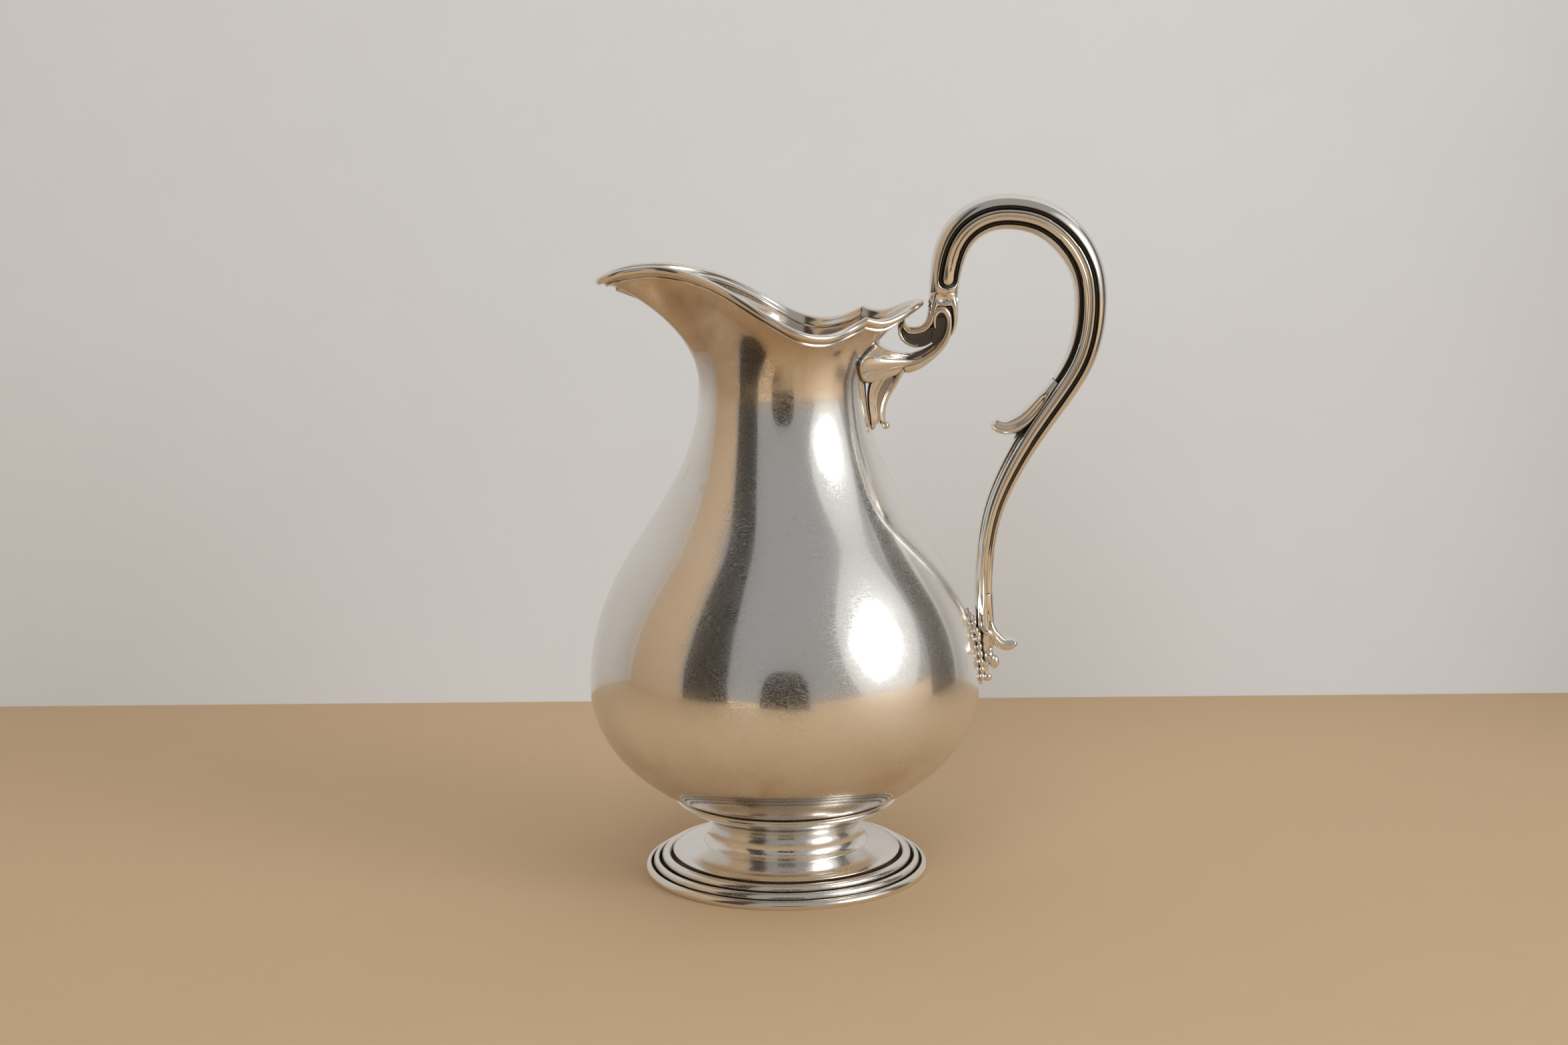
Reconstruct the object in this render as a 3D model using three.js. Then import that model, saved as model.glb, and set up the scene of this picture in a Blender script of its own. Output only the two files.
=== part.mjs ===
// Silver-plated water jug: a raised pear-shaped body on a spun foot, with an applied moulding
// round a drawn-out mouth and a cast scroll handle.
// Units are millimetres, +Z is up, the spout points to -X and the handle to +X.
// Points are first given about the body's own axis, and the whole jug is then moved so that the
// origin lies under the middle of its length.
import * as THREE from "three";

// ---------- driving dimensions ----------
const SHEET = 1.2; // gauge of the body and foot sheet
const GAP = 0.3; // room left at every soldered seam

const HANDLE_REACH = 117.2; // body axis to the handle's outermost point

const JUNCTION = { r: 40.4, z: 29.6 }; // where the belly meets the foot's collar
const BELLY = { r: 71.7, z: 70.5 }; // widest circle of the belly
const NECK = { r: 30.3, z: 182 }; // narrowest circle of the neck
const BELLY_FLOOR = 21.2; // underside of the body on the axis

const RIM_ROLL_R = 1.3; // upper roll of the mouth moulding
const RIM_BEAD_R = 0.8; // lower bead of the mouth moulding
const RIM_BEAD_DROP = 3.6; // wall's edge to the lower bead

const COLLAR_R = 41.3;
const WAIST = { r: 27.9, z: 15.6 };
const DOME_R = 41.9;
const BASE_R = 52.7;

const GRIP_SIDE = 12.4; // thickness of the grip across the jug, at its thickest
const ORNAMENT_HALF = 4.4; // half the thickness of the scrolls across the jug

// ---------- resolution ----------
const SPOUT_COLUMNS = 22; // columns of the body wall from the spout to the rim's corner
const LIP_COLUMNS = 6; // and from that corner to the rear lip
const FOOT_SEGMENTS = 40;

// ---------- materials ----------
function metal(name, color, roughness) {
  const material = new THREE.MeshStandardMaterial({ color, roughness, metalness: 1 });
  material.name = name;
  return material;
}
const polishedSilver = metal("polished_silver", 0xd8d6d0, 0.12);
const castSilver = metal("cast_silver", 0xb9b6ae, 0.28);
const wornEdgeSilver = metal("worn_edge_silver", 0xc9b48a, 0.22);

// ---------- geometry helpers ----------
const point = (x, y, z) => new THREE.Vector3(x, y, z);
const mix = THREE.MathUtils.lerp;
const smooth = THREE.MathUtils.smoothstep;

// A closed solid through rings of the same number of points. A closed run joins its last ring
// to its first. An open run is capped at both ends with `capFaces`, triangles over one ring's
// own points, or without them by a fan about the ring's middle.
function loft(rings, { closed = false, capFaces = null } = {}) {
  const n = rings[0].length;
  const position = rings.flat().flatMap((p) => [p.x, p.y, p.z]);
  const index = [];
  const spans = closed ? rings.length : rings.length - 1;
  for (let i = 0; i < spans; i += 1) {
    const here = i * n;
    const next = ((i + 1) % rings.length) * n;
    for (let j = 0; j < n; j += 1) {
      const k = (j + 1) % n;
      index.push(here + j, here + k, next + k, here + j, next + k, next + j);
    }
  }
  const fanAbout = (ring) => {
    const middle = ring.reduce((sum, p) => sum.add(p), point(0, 0, 0)).divideScalar(n);
    const centre = position.length / 3;
    position.push(middle.x, middle.y, middle.z);
    return (start) => ring.map((_, j) => [centre, start + j, start + ((j + 1) % n)]);
  };
  const cap = (ring, start, turned) => {
    const faces = capFaces
      ? capFaces.map((face) => face.map((corner) => corner + start))
      : fanAbout(ring)(start);
    for (const [a, b, c] of faces) index.push(a, ...(turned ? [c, b] : [b, c]));
  };
  if (!closed) {
    cap(rings[0], 0, true);
    cap(rings.at(-1), (rings.length - 1) * n, false);
  }
  const geometry = new THREE.BufferGeometry();
  geometry.setAttribute("position", new THREE.Float32BufferAttribute(position, 3));
  geometry.setIndex(signedVolume(position, index) < 0 ? turnedOver(index) : index);
  geometry.computeVertexNormals();
  return geometry;
}

function signedVolume(position, index) {
  const corner = (i) => new THREE.Vector3().fromArray(position, 3 * index[i]);
  let six = 0;
  for (let i = 0; i < index.length; i += 3) {
    six += corner(i).dot(corner(i + 1).cross(corner(i + 2)));
  }
  return six / 6;
}

function turnedOver(index) {
  const turned = index.slice();
  for (let i = 0; i < turned.length; i += 3) {
    [turned[i + 1], turned[i + 2]] = [turned[i + 2], turned[i + 1]];
  }
  return turned;
}

// A smooth run of points through [x, y] pairs.
function throughPoints(pairs, count) {
  return new THREE.SplineCurve(pairs.map(([x, y]) => new THREE.Vector2(x, y))).getPoints(count);
}

// A ring spun about the vertical axis from a closed outline of [radius, height] points.
function spun(outline) {
  const points = outline.map((p) => (Array.isArray(p) ? new THREE.Vector2(p[0], p[1]) : p));
  const rings = points.map((p) =>
    Array.from({ length: FOOT_SEGMENTS }, (_, j) => {
      const turn = (2 * Math.PI * j) / FOOT_SEGMENTS;
      return point(p.x * Math.cos(turn), p.x * Math.sin(turn), p.y);
    }),
  );
  return loft(rings, { closed: true });
}

// A flat casting in the handle's plane: a smooth closed outline of [x, z] points, with its
// edges bevelled, of half-thickness `half` across the jug.
function casting(outline, half, steps = 40, bevel = 0.8) {
  const corners = outline.map(([x, z]) => point(x, 0, z));
  if (THREE.ShapeUtils.isClockWise(outline.map(([x, z]) => new THREE.Vector2(x, z)))) {
    corners.reverse();
  }
  const curve = new THREE.CatmullRomCurve3(corners, true, "catmullrom", 0.5);
  const contour = curve.getPoints(steps).slice(0, -1);
  const flat = contour.map((p) => new THREE.Vector2(p.x, p.z));
  const inset = contour.map((p, i) => {
    const along = curve.getTangent(i / steps);
    return point(p.x - along.z * bevel, 0, p.z + along.x * bevel);
  });
  const layer = (points, y) => points.map((p) => point(p.x, y, p.z));
  const rings = [
    layer(inset, -half),
    layer(contour, bevel - half),
    layer(contour, half - bevel),
    layer(inset, half),
  ];
  return loft(rings, { capFaces: THREE.ShapeUtils.triangulateShape(flat, []) });
}

// A bar along a curve in the handle's plane. Stations are [x, z, width, side]: width lies in the
// plane and side across it. The section is a closed list of [in-plane, across] pairs within 1.
function bar(stations, section, steps) {
  const path = new THREE.SplineCurve(stations.map(([x, z]) => new THREE.Vector2(x, z)));
  const sizes = new THREE.SplineCurve(stations.map(([, , w, s]) => new THREE.Vector2(w, s)));
  const rings = Array.from({ length: steps + 1 }, (_, i) => {
    const centre = path.getPoint(i / steps);
    const size = sizes.getPoint(i / steps);
    const along = path.getTangent(i / steps);
    return section.map(([a, b]) =>
      point(
        centre.x - (along.y * a * size.x) / 2,
        (b * size.y) / 2,
        centre.y + (along.x * a * size.x) / 2,
      ),
    );
  });
  return loft(rings);
}

// A half section from the outer edge round to the inner edge, closed by its mirror image.
const mirrored = (half) => [...half, ...half.slice(1, -1).reverse().map(([a, b]) => [a, -b])];

function ellipsoid(x, y, z, rx, ry, rz) {
  return new THREE.SphereGeometry(1, 10, 6).scale(rx, ry, rz).translate(x, y, z);
}

// ---------- body and mouth ----------
// Side view of the body from the foot's collar to the neck: two cubic curves that share an
// upright tangent at the belly's widest circle.
const lowerBelly = new THREE.CubicBezierCurve(
  new THREE.Vector2(JUNCTION.r, JUNCTION.z),
  new THREE.Vector2(JUNCTION.r + 16.2, JUNCTION.z + 7.4),
  new THREE.Vector2(BELLY.r, BELLY.z - 18),
  new THREE.Vector2(BELLY.r, BELLY.z),
);
const shoulder = new THREE.CubicBezierCurve(
  new THREE.Vector2(BELLY.r, BELLY.z),
  new THREE.Vector2(BELLY.r, BELLY.z + 51.5),
  new THREE.Vector2(NECK.r, NECK.z - 45.5),
  new THREE.Vector2(NECK.r, NECK.z),
);
const bellyFloor = new THREE.CubicBezierCurve(
  new THREE.Vector2(4, BELLY_FLOOR),
  new THREE.Vector2(20, BELLY_FLOOR),
  new THREE.Vector2(32, BELLY_FLOOR + 4.4),
  new THREE.Vector2(JUNCTION.r, JUNCTION.z),
);

// The middle of the rim's upper roll: [turn from the spout in degrees, x, half-width, z].
// The row at CORNER_TURN is a sharp corner, where the side of the mouth meets the rear lip.
const CORNER_TURN = 146;
const MOUTH = [
  [0, -65.6, 0, 219.4],
  [5, -63.8, 4.2, 220.6],
  [11, -58.5, 6.9, 222.6],
  [18, -50, 7.2, 224],
  [25, -42, 8.8, 224],
  [34, -33, 13.6, 222.4],
  [47, -23, 22.4, 219],
  [66, -12.2, 30.6, 213.4],
  [84, -3, 34.8, 208],
  [97, 5, 35.4, 203.8],
  [112, 12.5, 32.8, 201.7],
  [127, 19, 28.2, 202],
  [139, 25.2, 22.6, 204.2],
  [CORNER_TURN, 29.8, 20.6, 206.6],
  [153, 35.2, 18.4, 205.4],
  [163, 42.6, 13.8, 207.6],
  [172, 47.6, 7.4, 209.9],
  [180, 49.8, 0, 210.8],
];

// Slope of one column of MOUTH at a row, taken from its neighbours, and one-sided at the ends
// and at the corner.
function slopeAt(row, column, side) {
  const atCorner = MOUTH[row][0] === CORNER_TURN;
  const before = row === 0 || (atCorner && side > 0) ? row : row - 1;
  const after = row === MOUTH.length - 1 || (atCorner && side < 0) ? row : row + 1;
  return (MOUTH[after][column] - MOUTH[before][column]) / (MOUTH[after][0] - MOUTH[before][0]);
}

function mouthValue(turn, column) {
  let row = 0;
  while (row < MOUTH.length - 2 && turn > MOUTH[row + 1][0]) row += 1;
  const width = MOUTH[row + 1][0] - MOUTH[row][0];
  const t = (turn - MOUTH[row][0]) / width;
  const rise = t * t * (3 - 2 * t);
  return (
    mix(MOUTH[row][column], MOUTH[row + 1][column], rise) +
    t * (1 - t) * (1 - t) * width * slopeAt(row, column, 1) +
    t * t * (t - 1) * width * slopeAt(row + 1, column, -1)
  );
}

// Rim data for a turn of 0 to 180 degrees from the spout, on the side of y < 0.
function rimAt(turn) {
  const step = 0.25;
  const from = Math.max(turn - step, 0);
  const to = Math.min(turn + step, 180);
  const middle = point(mouthValue(turn, 1), -mouthValue(turn, 2), mouthValue(turn, 3));
  const dx = mouthValue(to, 1) - mouthValue(from, 1);
  const dy = -(mouthValue(to, 2) - mouthValue(from, 2));
  const outward = point(dy, -dx, 0).normalize();
  if (turn === 0) outward.set(-1, 0, 0);
  if (turn === 180) outward.set(1, 0, 0);
  const flare = THREE.MathUtils.degToRad(
    14 + 36 * smooth(turn, 0, 14) - 6 * smooth(turn, 30, 90) - 12 * smooth(turn, 150, 180),
  );
  // The wall runs into the rim along `rise`, and `face` is its outward normal there.
  const rise = outward.clone().multiplyScalar(Math.cos(flare)).setZ(Math.sin(flare));
  const face = outward.clone().multiplyScalar(Math.sin(flare)).setZ(-Math.cos(flare));
  const pull =
    mix(21, 5, smooth(turn, 0, 9)) + 5 * smooth(turn, 26, 70) + 5 * smooth(turn, 150, 180);
  return { middle, rise, face, pull };
}

// The wall between the neck and the rim in one upright column of the body.
function throatColumn(turn) {
  const { middle, rise, face, pull } = rimAt(turn);
  const angle = THREE.MathUtils.degToRad(180 + turn);
  const foot = point(NECK.r * Math.cos(angle), NECK.r * Math.sin(angle), NECK.z);
  const edge = middle
    .clone()
    .addScaledVector(rise, -(RIM_ROLL_R + GAP + 0.1))
    .addScaledVector(face, SHEET / 2);
  const lift = 0.45 * foot.distanceTo(edge);
  return new THREE.CubicBezierCurve3(
    foot,
    foot.clone().add(point(0, 0, lift)),
    edge.clone().addScaledVector(rise, -pull),
    edge,
  );
}

// Turns of the wall's columns round the half with y < 0, from the spout to the rear lip.
const halfTurns = [
  ...Array.from({ length: SPOUT_COLUMNS }, (_, i) => (CORNER_TURN * i) / SPOUT_COLUMNS),
  ...Array.from(
    { length: LIP_COLUMNS + 1 },
    (_, i) => CORNER_TURN + ((180 - CORNER_TURN) * i) / LIP_COLUMNS,
  ),
];

// A full ring from a function of the turn that gives the half with y < 0.
function ringOf(at) {
  const half = halfTurns.map(at);
  const other = half.slice(1, -1).reverse().map((p) => point(p.x, -p.y, p.z));
  return [...half, ...other];
}

const circle = (r, z) =>
  ringOf((turn) => {
    const angle = THREE.MathUtils.degToRad(180 + turn);
    return point(r * Math.cos(angle), turn % 180 === 0 ? 0 : r * Math.sin(angle), z);
  });

// Outward normals of a stack of rings, from the neighbouring points of each.
function ringNormals(rings, i) {
  const below = rings[Math.max(i - 1, 0)];
  const above = rings[Math.min(i + 1, rings.length - 1)];
  const n = rings[i].length;
  return rings[i].map((_, j) => {
    const round = rings[i][(j + 1) % n].clone().sub(rings[i][(j + n - 1) % n]);
    return round.cross(above[j].clone().sub(below[j])).normalize();
  });
}

const profileRings = (curve, count) =>
  curve.getPoints(count).map((p) => circle(p.x, p.y));

function bodyShell() {
  const throats = new Map(halfTurns.map((turn) => [turn, throatColumn(turn)]));
  const throatRings = Array.from({ length: 6 }, (_, i) =>
    ringOf((turn) => throats.get(turn).getPoint((i + 1) / 6)),
  );
  const outside = [
    ...profileRings(bellyFloor, 2).slice(0, -1),
    ...profileRings(lowerBelly, 4).slice(0, -1),
    ...profileRings(shoulder, 7),
    ...throatRings,
  ];
  const inside = outside.map((ring, i) =>
    ringNormals(outside, i).map((normal, j) => ring[j].clone().addScaledVector(normal, -SHEET)),
  );
  return loft([...outside, ...inside.reverse()]);
}

// A wire of round section that follows a closed line of points round the mouth.
function rimWire(line, radius, sides) {
  const n = line.length;
  const rings = line.map((p, i) => {
    const along = line[(i + 1) % n].clone().sub(line[(i + n - 1) % n]).normalize();
    const across = point(0, 0, 1).cross(along).normalize();
    const up = along.clone().cross(across);
    return Array.from({ length: sides }, (_, k) => {
      const angle = (2 * Math.PI * k) / sides;
      return p
        .clone()
        .addScaledVector(across, radius * Math.cos(angle))
        .addScaledVector(up, radius * Math.sin(angle));
    });
  });
  return loft(rings, { closed: true });
}

const rimRoll = () => rimWire(ringOf((turn) => rimAt(turn).middle), RIM_ROLL_R, 6);

function rimBead() {
  const line = ringOf((turn) => {
    const { face, pull } = rimAt(turn);
    const seat = throatColumn(turn).getPoint(1 - RIM_BEAD_DROP / (3 * pull));
    return seat.addScaledVector(face, RIM_BEAD_R + 2 * GAP);
  });
  return rimWire(line, RIM_BEAD_R, 5);
}

// ---------- foot ----------
function footCollar() {
  const inner = JUNCTION.r - 1.6;
  return spun([
    [inner, 27.3],
    [COLLAR_R - 0.5, 27.9],
    [COLLAR_R, 28.1],
    [COLLAR_R, 28.8],
    [COLLAR_R - 0.4, 29.1],
    [inner, 28],
  ]);
}

// The hollow stem: a calyx under the body, a waist, and a flare onto the dome.
function footStem() {
  const outside = throughPoints(
    [
      [COLLAR_R - 1.1, 26.1],
      [35.2, 24.2],
      [31.4, 21.9],
      [28.8, 18.9],
      [WAIST.r, WAIST.z],
      [28.4, 13],
      [30.6, 11.2],
    ],
    9,
  );
  const inside = outside
    .map((p, i) => {
      const before = outside[Math.max(i - 1, 0)];
      const after = outside[Math.min(i + 1, outside.length - 1)];
      const along = after.clone().sub(before).normalize();
      return new THREE.Vector2(p.x + along.y * SHEET, p.y - along.x * SHEET);
    })
    .reverse();
  return spun([...outside, ...inside]);
}

function footDome() {
  const outside = throughPoints([[31, 10.8], [35.5, 10.1], [39.5, 9.2], [DOME_R, 7.9]], 5);
  const inside = outside.map((p) => new THREE.Vector2(p.x, p.y - SHEET)).reverse();
  return spun([...outside, ...inside]);
}

// One moulded step of the foot: an arched roll between two radii, sloping down outwards.
function footStep(innerR, outerR, crestZ, drop) {
  const middle = (innerR + outerR) / 2;
  return spun([
    [innerR, crestZ - 2.6],
    [outerR, crestZ - drop - 2.2],
    [outerR, crestZ - drop],
    [middle + 0.6, crestZ - 0.15],
    [middle - 0.6, crestZ],
    [innerR, crestZ - 0.9],
  ]);
}

// The base wire that the jug stands on.
function footBase() {
  return spun([
    [49.8, 0],
    [BASE_R - 0.5, 0],
    [BASE_R, 0.7],
    [BASE_R, 1.9],
    [52, 2.9],
    [51, 3.3],
    [50, 2.7],
  ]);
}

// ---------- handle ----------
// Fluted section: a wide outer bead, a groove, a raised rib, a groove and a narrow inner bead.
const FLUTED = mirrored([
  [1, 0],
  [0.96, 0.5],
  [0.8, 0.86],
  [0.62, 0.92],
  [0.46, 0.66],
  [0.26, 0.92],
  [0, 1],
  [-0.18, 0.9],
  [-0.36, 0.66],
  [-0.6, 0.84],
  [-0.86, 0.74],
  [-1, 0],
]);

function handleGrip() {
  const side = GRIP_SIDE;
  return bar(
    [
      [58.3, 212.6, 10.6, 9.6],
      [59.3, 223, 11.5, 10.6],
      [64.5, 236, 12.6, side],
      [74, 242.2, 12.7, side],
      [84, 243, 12.8, side],
      [94, 240.4, 13, side],
      [103.5, 233, 13.2, side],
      [109.8, 221.5, 12.3, side],
      [111.2, 208, 11.8, side],
      [107.6, 190, 11, side],
      [100, 177, 10.4, 12],
      [90.5, 163, 9.6, 11],
      [82, 148, 8.4, 10],
      [76.5, 134, 7.4, 9.2],
      [73.9, 119, 6.9, 8.8],
      [73.3, 103.4, 6.7, 8.6],
    ],
    FLUTED,
    44,
  );
}

// The leaf that curls off the inside of the grip, as a stop for the hand.
const thumbSpur = () =>
  casting(
    [
      [94.2, 179],
      [89.3, 172.9],
      [84.6, 170],
      [79.5, 168.7],
      [75.6, 167.9],
      [76.4, 164.6],
      [80.4, 162.8],
      [84, 163.6],
      [88.2, 169.4],
    ],
    ORNAMENT_HALF,
  );

// The grip's lower end, which forks: the left branch curls back as a small volute.
const scrollVolute = () =>
  casting(
    [
      [53.2, 211.2],
      [52.2, 206.5],
      [50.2, 203.1],
      [46.4, 202.6],
      [44.4, 205.6],
      [41.9, 202.6],
      [42.2, 198.4],
      [46.4, 195],
      [51.2, 196.4],
      [53.6, 200.6],
      [53.2, 206.2],
      [54.4, 209.9],
      [57.6, 211.1],
      [60.8, 210.2],
      [62, 206],
      [63.1, 205.6],
      [63.5, 211.2],
      [58.4, 211.4],
    ],
    ORNAMENT_HALF,
    36,
    0.4,
  );

// The second scroll: a round hood that nests in the fork, and a stalk that runs to the neck.
const scrollStalk = () =>
  casting(
    [
      [54, 206.5],
      [55.2, 209.6],
      [57.6, 210.7],
      [60.2, 209.3],
      [61.3, 205.6],
      [61.9, 201.2],
      [59.6, 196],
      [54.6, 190.6],
      [48, 186.5],
      [44.4, 185.1],
      [44.6, 191.4],
      [49.4, 193.4],
      [53.6, 196.6],
      [55, 201],
    ],
    ORNAMENT_HALF + 0.4,
    48,
  );

// The trumpet-shaped socket that hugs the neck and narrows into the stalk.
function neckSocket() {
  const sides = 16;
  const corner = (k) => (2 * Math.PI * k) / sides;
  const roundCorners = (at) => Array.from({ length: sides }, (_, k) => at(corner(k)));
  // A ring on the neck's own surface, of a share of the seat's full size.
  const seat = (share) =>
    roundCorners((angle) => {
      const turn = 180 - 29 * share * Math.abs(Math.cos(angle));
      const { face } = rimAt(turn);
      const stand = point(face.x, face.y, 0).setLength(2 * GAP);
      const p = throatColumn(turn).getPoint(0.23 + 0.2 * share * Math.sin(angle)).add(stand);
      return Math.cos(angle) > 0 ? p : point(p.x, -p.y, p.z);
    });
  const stalkEnd = point(43.6, 0, 188.3);
  const trumpet = (t) => {
    const narrowing = 1 - (1 - t) * (1 - t);
    return seat(1).map((p, k) => {
      const y = -(ORNAMENT_HALF + 0.3) * Math.cos(corner(k));
      const z = stalkEnd.z + 3.1 * Math.sin(corner(k));
      return point(mix(p.x, stalkEnd.x, t), mix(p.y, y, narrowing), mix(p.z, z, narrowing));
    });
  };
  return loft([...[0.1, 0.4, 0.7, 1].map(seat), ...[0.12, 0.34, 0.6, 0.8, 1].map(trumpet)]);
}

// The folded leaf that hangs under the socket, and the bud at its tip.
const dropLeaf = () =>
  casting(
    [
      [31.4, 180],
      [31.5, 174],
      [32.2, 169],
      [33.4, 165.2],
      [36.6, 168.2],
      [36.9, 173],
      [38.2, 178],
      [39.6, 180.8],
      [35, 180.6],
    ],
    3.6,
  );

const dropBud = () => ellipsoid(37.6, 0, 166.4, 1.4, 1.5, 1.4);

// The plain socket at the handle's lower end.
const lowerSocket = () =>
  casting(
    [
      [70, 102.2],
      [73.4, 102.4],
      [76.6, 102.2],
      [76.8, 96],
      [77, 90],
      [77.1, 82],
      [75.4, 80.6],
      [73.7, 82],
      [72.8, 88],
      [71.4, 95],
    ],
    4.2,
  );

const lowerSpur = () =>
  casting(
    [
      [77.7, 92.4],
      [78.9, 89.6],
      [82.4, 87.7],
      [85.4, 86.6],
      [84.3, 84],
      [81, 82.2],
      [77.6, 81.6],
      [77.5, 87],
    ],
    3.8,
    24,
    0.6,
  );

// The thin plate that seats the handle's lower end on the belly.
const PLATE = { low: 70, high: 99, half: 6.2, gauge: 1 };
function bellyRadius(z) {
  const curve = z < BELLY.z ? lowerBelly : shoulder;
  let low = 0;
  let high = 1;
  for (let i = 0; i < 24; i += 1) {
    const t = (low + high) / 2;
    if (curve.getPoint(t).y < z) low = t;
    else high = t;
  }
  return curve.getPoint(low).x;
}

function lowerPlate() {
  const rows = 9;
  const rings = Array.from({ length: rows + 1 }, (_, i) => {
    const t = i / rows;
    const z = mix(PLATE.low, PLATE.high, t);
    const half = PLATE.half * (0.25 + 0.75 * Math.sin(Math.PI * (0.12 + 0.7 * t)));
    const r = bellyRadius(z) + 1.5 * GAP;
    const across = [-1, -0.5, 0, 0.5, 1];
    const arc = (radius, k) => {
      const y = half * k;
      return point(Math.sqrt(radius * radius - y * y), y, z);
    };
    return [
      ...across.map((k) => arc(r, k)),
      ...across.slice().reverse().map((k) => arc(r + PLATE.gauge, k)),
    ];
  });
  return loft(rings);
}

// ---------- assembly ----------
const jug = new THREE.Group();
jug.name = "water_jug";
jug.position.x = (BELLY.r - HANDLE_REACH) / 2;

function add(name, geometry, material) {
  const mesh = new THREE.Mesh(geometry, material);
  mesh.name = name;
  jug.add(mesh);
}

add("body_shell", bodyShell(), polishedSilver);
add("rim_roll", rimRoll(), wornEdgeSilver);
add("rim_bead", rimBead(), polishedSilver);

add("foot_collar", footCollar(), polishedSilver);
add("foot_stem", footStem(), polishedSilver);
add("foot_dome", footDome(), polishedSilver);
add("foot_step_inner", footStep(DOME_R + GAP, 46.2, 7.3, 0.9), polishedSilver);
add("foot_step_middle", footStep(46.5, 49.5, 5.3, 0.9), polishedSilver);
add("foot_base_wire", footBase(), wornEdgeSilver);

add("handle_grip", handleGrip(), castSilver);
add("thumb_spur", thumbSpur(), castSilver);
add("scroll_volute", scrollVolute(), castSilver);
add("scroll_stalk", scrollStalk(), castSilver);
add("neck_socket", neckSocket(), castSilver);
add("drop_leaf", dropLeaf(), castSilver);
add("drop_bud", dropBud(), wornEdgeSilver);

add("lower_socket", lowerSocket(), castSilver);
add("lower_spur", lowerSpur(), wornEdgeSilver);
add("lower_plate", lowerPlate(), castSilver);

// Two small leaves on the sides of the lower socket, and the cluster of berries below it.
for (const [side, y] of [["front", -5.3], ["back", 5.3]]) {
  add(`socket_leaf_${side}`, ellipsoid(74.2, y, 89.6, 2.3, 0.8, 1.3), wornEdgeSilver);
  add(`berry_upper_${side}`, ellipsoid(75.4, y * 0.6, 78.3, 1.7, 1.6, 1.7), castSilver);
}
add("berry_middle", ellipsoid(77.4, 0, 77.4, 1.4, 1.3, 2.2), castSilver);
add("berry_stem", ellipsoid(74.4, 0, 75.2, 0.9, 0.9, 1), castSilver);
add("berry_tip", ellipsoid(75, 0, 72.3, 1.5, 1.5, 1.6), wornEdgeSilver);

export default jug;
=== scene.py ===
"""Silver-plated water pitcher: the looks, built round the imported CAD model.

Shapes are given in millimetres about the body's own axis and become metres in `mesh_of`.
The spout points to -X and the handle to +X, and the front and back are mirror images.
"""

import math

import bmesh
import bpy
import numpy as np
from mathutils import Matrix, Vector
from mathutils.bvhtree import BVHTree


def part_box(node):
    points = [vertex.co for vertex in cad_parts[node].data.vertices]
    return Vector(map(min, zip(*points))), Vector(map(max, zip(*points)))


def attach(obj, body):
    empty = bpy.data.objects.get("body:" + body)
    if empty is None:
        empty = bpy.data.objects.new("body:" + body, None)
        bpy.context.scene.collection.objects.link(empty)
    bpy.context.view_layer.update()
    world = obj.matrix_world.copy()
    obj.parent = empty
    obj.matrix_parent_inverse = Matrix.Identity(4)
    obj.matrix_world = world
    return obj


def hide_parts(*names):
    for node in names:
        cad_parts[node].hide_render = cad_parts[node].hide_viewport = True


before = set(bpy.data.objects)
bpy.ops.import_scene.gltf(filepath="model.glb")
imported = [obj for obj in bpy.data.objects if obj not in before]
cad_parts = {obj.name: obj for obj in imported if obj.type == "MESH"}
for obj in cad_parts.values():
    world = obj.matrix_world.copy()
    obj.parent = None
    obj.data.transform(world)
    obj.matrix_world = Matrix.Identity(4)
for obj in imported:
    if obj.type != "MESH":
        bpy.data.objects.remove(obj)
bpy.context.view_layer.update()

MM = 0.001
base_low, base_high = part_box("foot_base_wire")
AXIS_X = (base_low[0] + base_high[0]) / 2

# ---------- driving dimensions, in millimetres ----------
SHEET = 1.2  # gauge of the body and foot sheet
JUNCTION = (40.4, 29.6)  # radius and height where the belly meets the foot's collar
BELLY = (71.7, 70.5)  # widest circle of the belly
NECK = (30.3, 182.0)  # narrowest circle of the neck
BELLY_FLOOR = 21.2  # underside of the body on the axis
COLLAR_R = 41.3  # outer radius of the collar ring under the belly
DOME_R = 42.2  # outer radius of the foot's dome
BASE_R = 52.7  # outer radius of the base wire
SEGMENTS = 288  # steps round each spun ring of the foot
HAMMERING = 0.022  # height of the faint swells in the wall
GRIP_SIDE = 12.4  # thickness of the grip across the jug, at its thickest
SCROLL_SIDE = 8.8  # thickness of the scrolls across the jug

# ---------- curves ----------


def smoothstep(x, low, high):
    """Rises smoothly from 0 at `low` to 1 at `high`."""
    t = np.clip((np.asarray(x, float) - low) / (high - low), 0, 1)
    return t * t * (3 - 2 * t)


def bell(x, width):
    """1 where `x` is 0, falling away smoothly to either side."""
    return np.exp(-((x / width) ** 2))


def bezier(corners, count):
    """Points of the cubic curve with these four corners, each of any number of coordinates."""
    a, b, c, d = (np.asarray(p, float) for p in corners)
    t = np.linspace(0, 1, count)[:, None]
    s = 1 - t
    return s**3 * a + 3 * s * s * t * b + 3 * s * t * t * c + t**3 * d


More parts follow.
